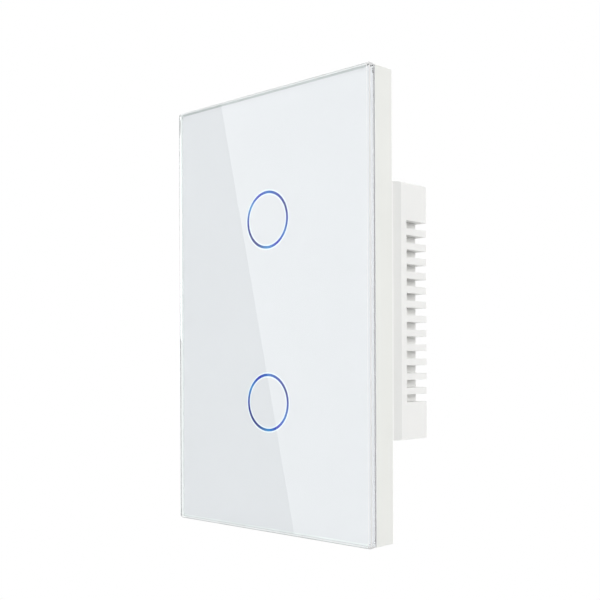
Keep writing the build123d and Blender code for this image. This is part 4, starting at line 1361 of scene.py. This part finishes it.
# %% Terminal blocks
mineral_white = plastic("mineral_white", byte_colour(238, 238, 233), 0.5, 0.65, 0.18, 0.006)
shade_recesses(mineral_white, 2.5, 0.35)
for way in range(1, 5):
    softened(f"terminal_block_{way}", 0.12, mineral_white)
print("four terminal blocks dressed")

# %% [markdown]
# ## The foam tape
# The plate is held by a ring of double-sided foam tape. From the side one sees only its cut edge,
# deep in the gap between glass and frame, and the gap reads as one thin grey line. Three things
# make that line here: the tape ends half a millimetre inside the rim; its cut edge is dark grey,
# the foam's own colour and painted shade of the gap; and the front of the frame has painted
# shade, a darker white for the little light that comes in there. The tape's faces are pale. Only
# the strip along the top has painted shade: a grey that shows through the clear border of the
# plate as a grey line. The hole in the tape goes round the module's cover.

# %% Foam tape
TAPE_INSET, TAPE_CORNER, WINDOW_CORNER = 0.53 * MM, 0.8 * MM, 1.0 * MM
TAPE_CLEARANCE = 0.01 * MM
TOP_SHADE_START, FRAME_SHADE_DEPTH = 57.5, 0.03
COVER_WIDTH, COVER_HEIGHT, COVER_CLEARANCE = 47 * MM, 69.8 * MM, 2.1 * MM

adhesive_face = plastic("adhesive_face", (0.93, 0.935, 0.935), 0.5, 0.7, 0.4, 0.004)
# Painted shade: grey on the tape's face along the top strip.
repaint(adhesive_face, past(adhesive_face, "Z", TOP_SHADE_START), (0.62, 0.63, 0.63), 0.6)
# Dark grey on the cut edge: the foam's own colour and painted shade of the gap.
foam_edge = plastic("foam_edge", (0.14, 0.14, 0.15), 0.75, 0.9, 0.12, 0.03)
frame_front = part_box("panel_frame")[0].y / MM
# Painted shade: the frame's front face, seen only in the gap, gets a darker white.
repaint(frame_white, opposite(frame_white, past(frame_white, "Y", frame_front
                                                + FRAME_SHADE_DEPTH)), (0.66, 0.66, 0.67))


def make_foam_tape():
    """A flat ring between print and frame: pale faces with painted shade along the top, and dark
    foam with painted shade along its cut edges.
    """
    low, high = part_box("adhesive_tape")
    front, back = low.y + TAPE_CLEARANCE, high.y - TAPE_CLEARANCE
    outer = rounded_outline(plate_width - 2 * TAPE_INSET, plate_height - 2 * TAPE_INSET,
                            TAPE_CORNER)
    inner = rounded_outline(COVER_WIDTH + 2 * COVER_CLEARANCE,
                            COVER_HEIGHT + 2 * COVER_CLEARANCE, WINDOW_CORNER)
    mesh = bmesh.new()
    rings = [add_loop(mesh, outline, y) for outline, y in
             ((outer, front), (outer, back), (inner, back), (inner, front))]
    for number, cut_edge in enumerate((1, 0, 1, 0)):
        join_loops(mesh, rings[number], rings[(number + 1) % 4], cut_edge)
    return as_object(mesh, "foam_tape", adhesive_face, foam_edge)


put_on(make_foam_tape(), "adhesive_tape", "front_panel")
left_plain = [name for name, solid in NODES.items()
              if not solid.hide_render and not solid.data.materials[0].node_tree.links]
print("nodes still plain:", left_plain)

# %% [markdown]
# ## The floor
# A plain pale sheet lies below the switch, low enough to keep its soft shadow out of the
# picture. Far from the switch it runs out into the white of the tent: a white light takes over
# from the sheet, but only for the rays of the camera and for those that mirror or pass glass, so
# it adds no light to the switch.

# %% Floor
FADE_START, FADE_END = 0.13, 0.24
FLOOR_HEIGHT, FLOOR_HALF = -0.14, 6.0
floor_finish = finish("pale_sheet", (0.80, 0.80, 0.80), 0.8)
distance = node(floor_finish, "ShaderNodeVectorMath", Vector=place_on(floor_finish))
distance.operation = "LENGTH"
fade = node(floor_finish, "ShaderNodeMapRange", Value=distance.outputs["Value"],
            From_Min=FADE_START, From_Max=FADE_END)
fade.interpolation_type = "SMOOTHSTEP"
floor_rays = node(floor_finish, "ShaderNodeLightPath").outputs
floor_seen = math_node(floor_finish, "MAXIMUM", floor_rays["Is Camera Ray"], math_node(
    floor_finish, "MAXIMUM", floor_rays["Is Glossy Ray"], floor_rays["Is Transmission Ray"]))
mix_surface(floor_finish, math_node(floor_finish, "MULTIPLY", fade.outputs["Result"], floor_seen),
            node(floor_finish, "ShaderNodeEmission", Strength=1.0))
floor_mesh = bmesh.new()
bmesh.ops.create_grid(floor_mesh, x_segments=1, y_segments=1, size=FLOOR_HALF)
floor = as_object(floor_mesh, "floor", floor_finish)
floor.location.z = FLOOR_HEIGHT
print("floor at", round(floor.location.z, 3))

# %% [markdown]
# ## The end
# What we added may not stand out past the solids by much, or the part would no longer fit where
# the drawing says it fits.

# %% The end
print("scene built")
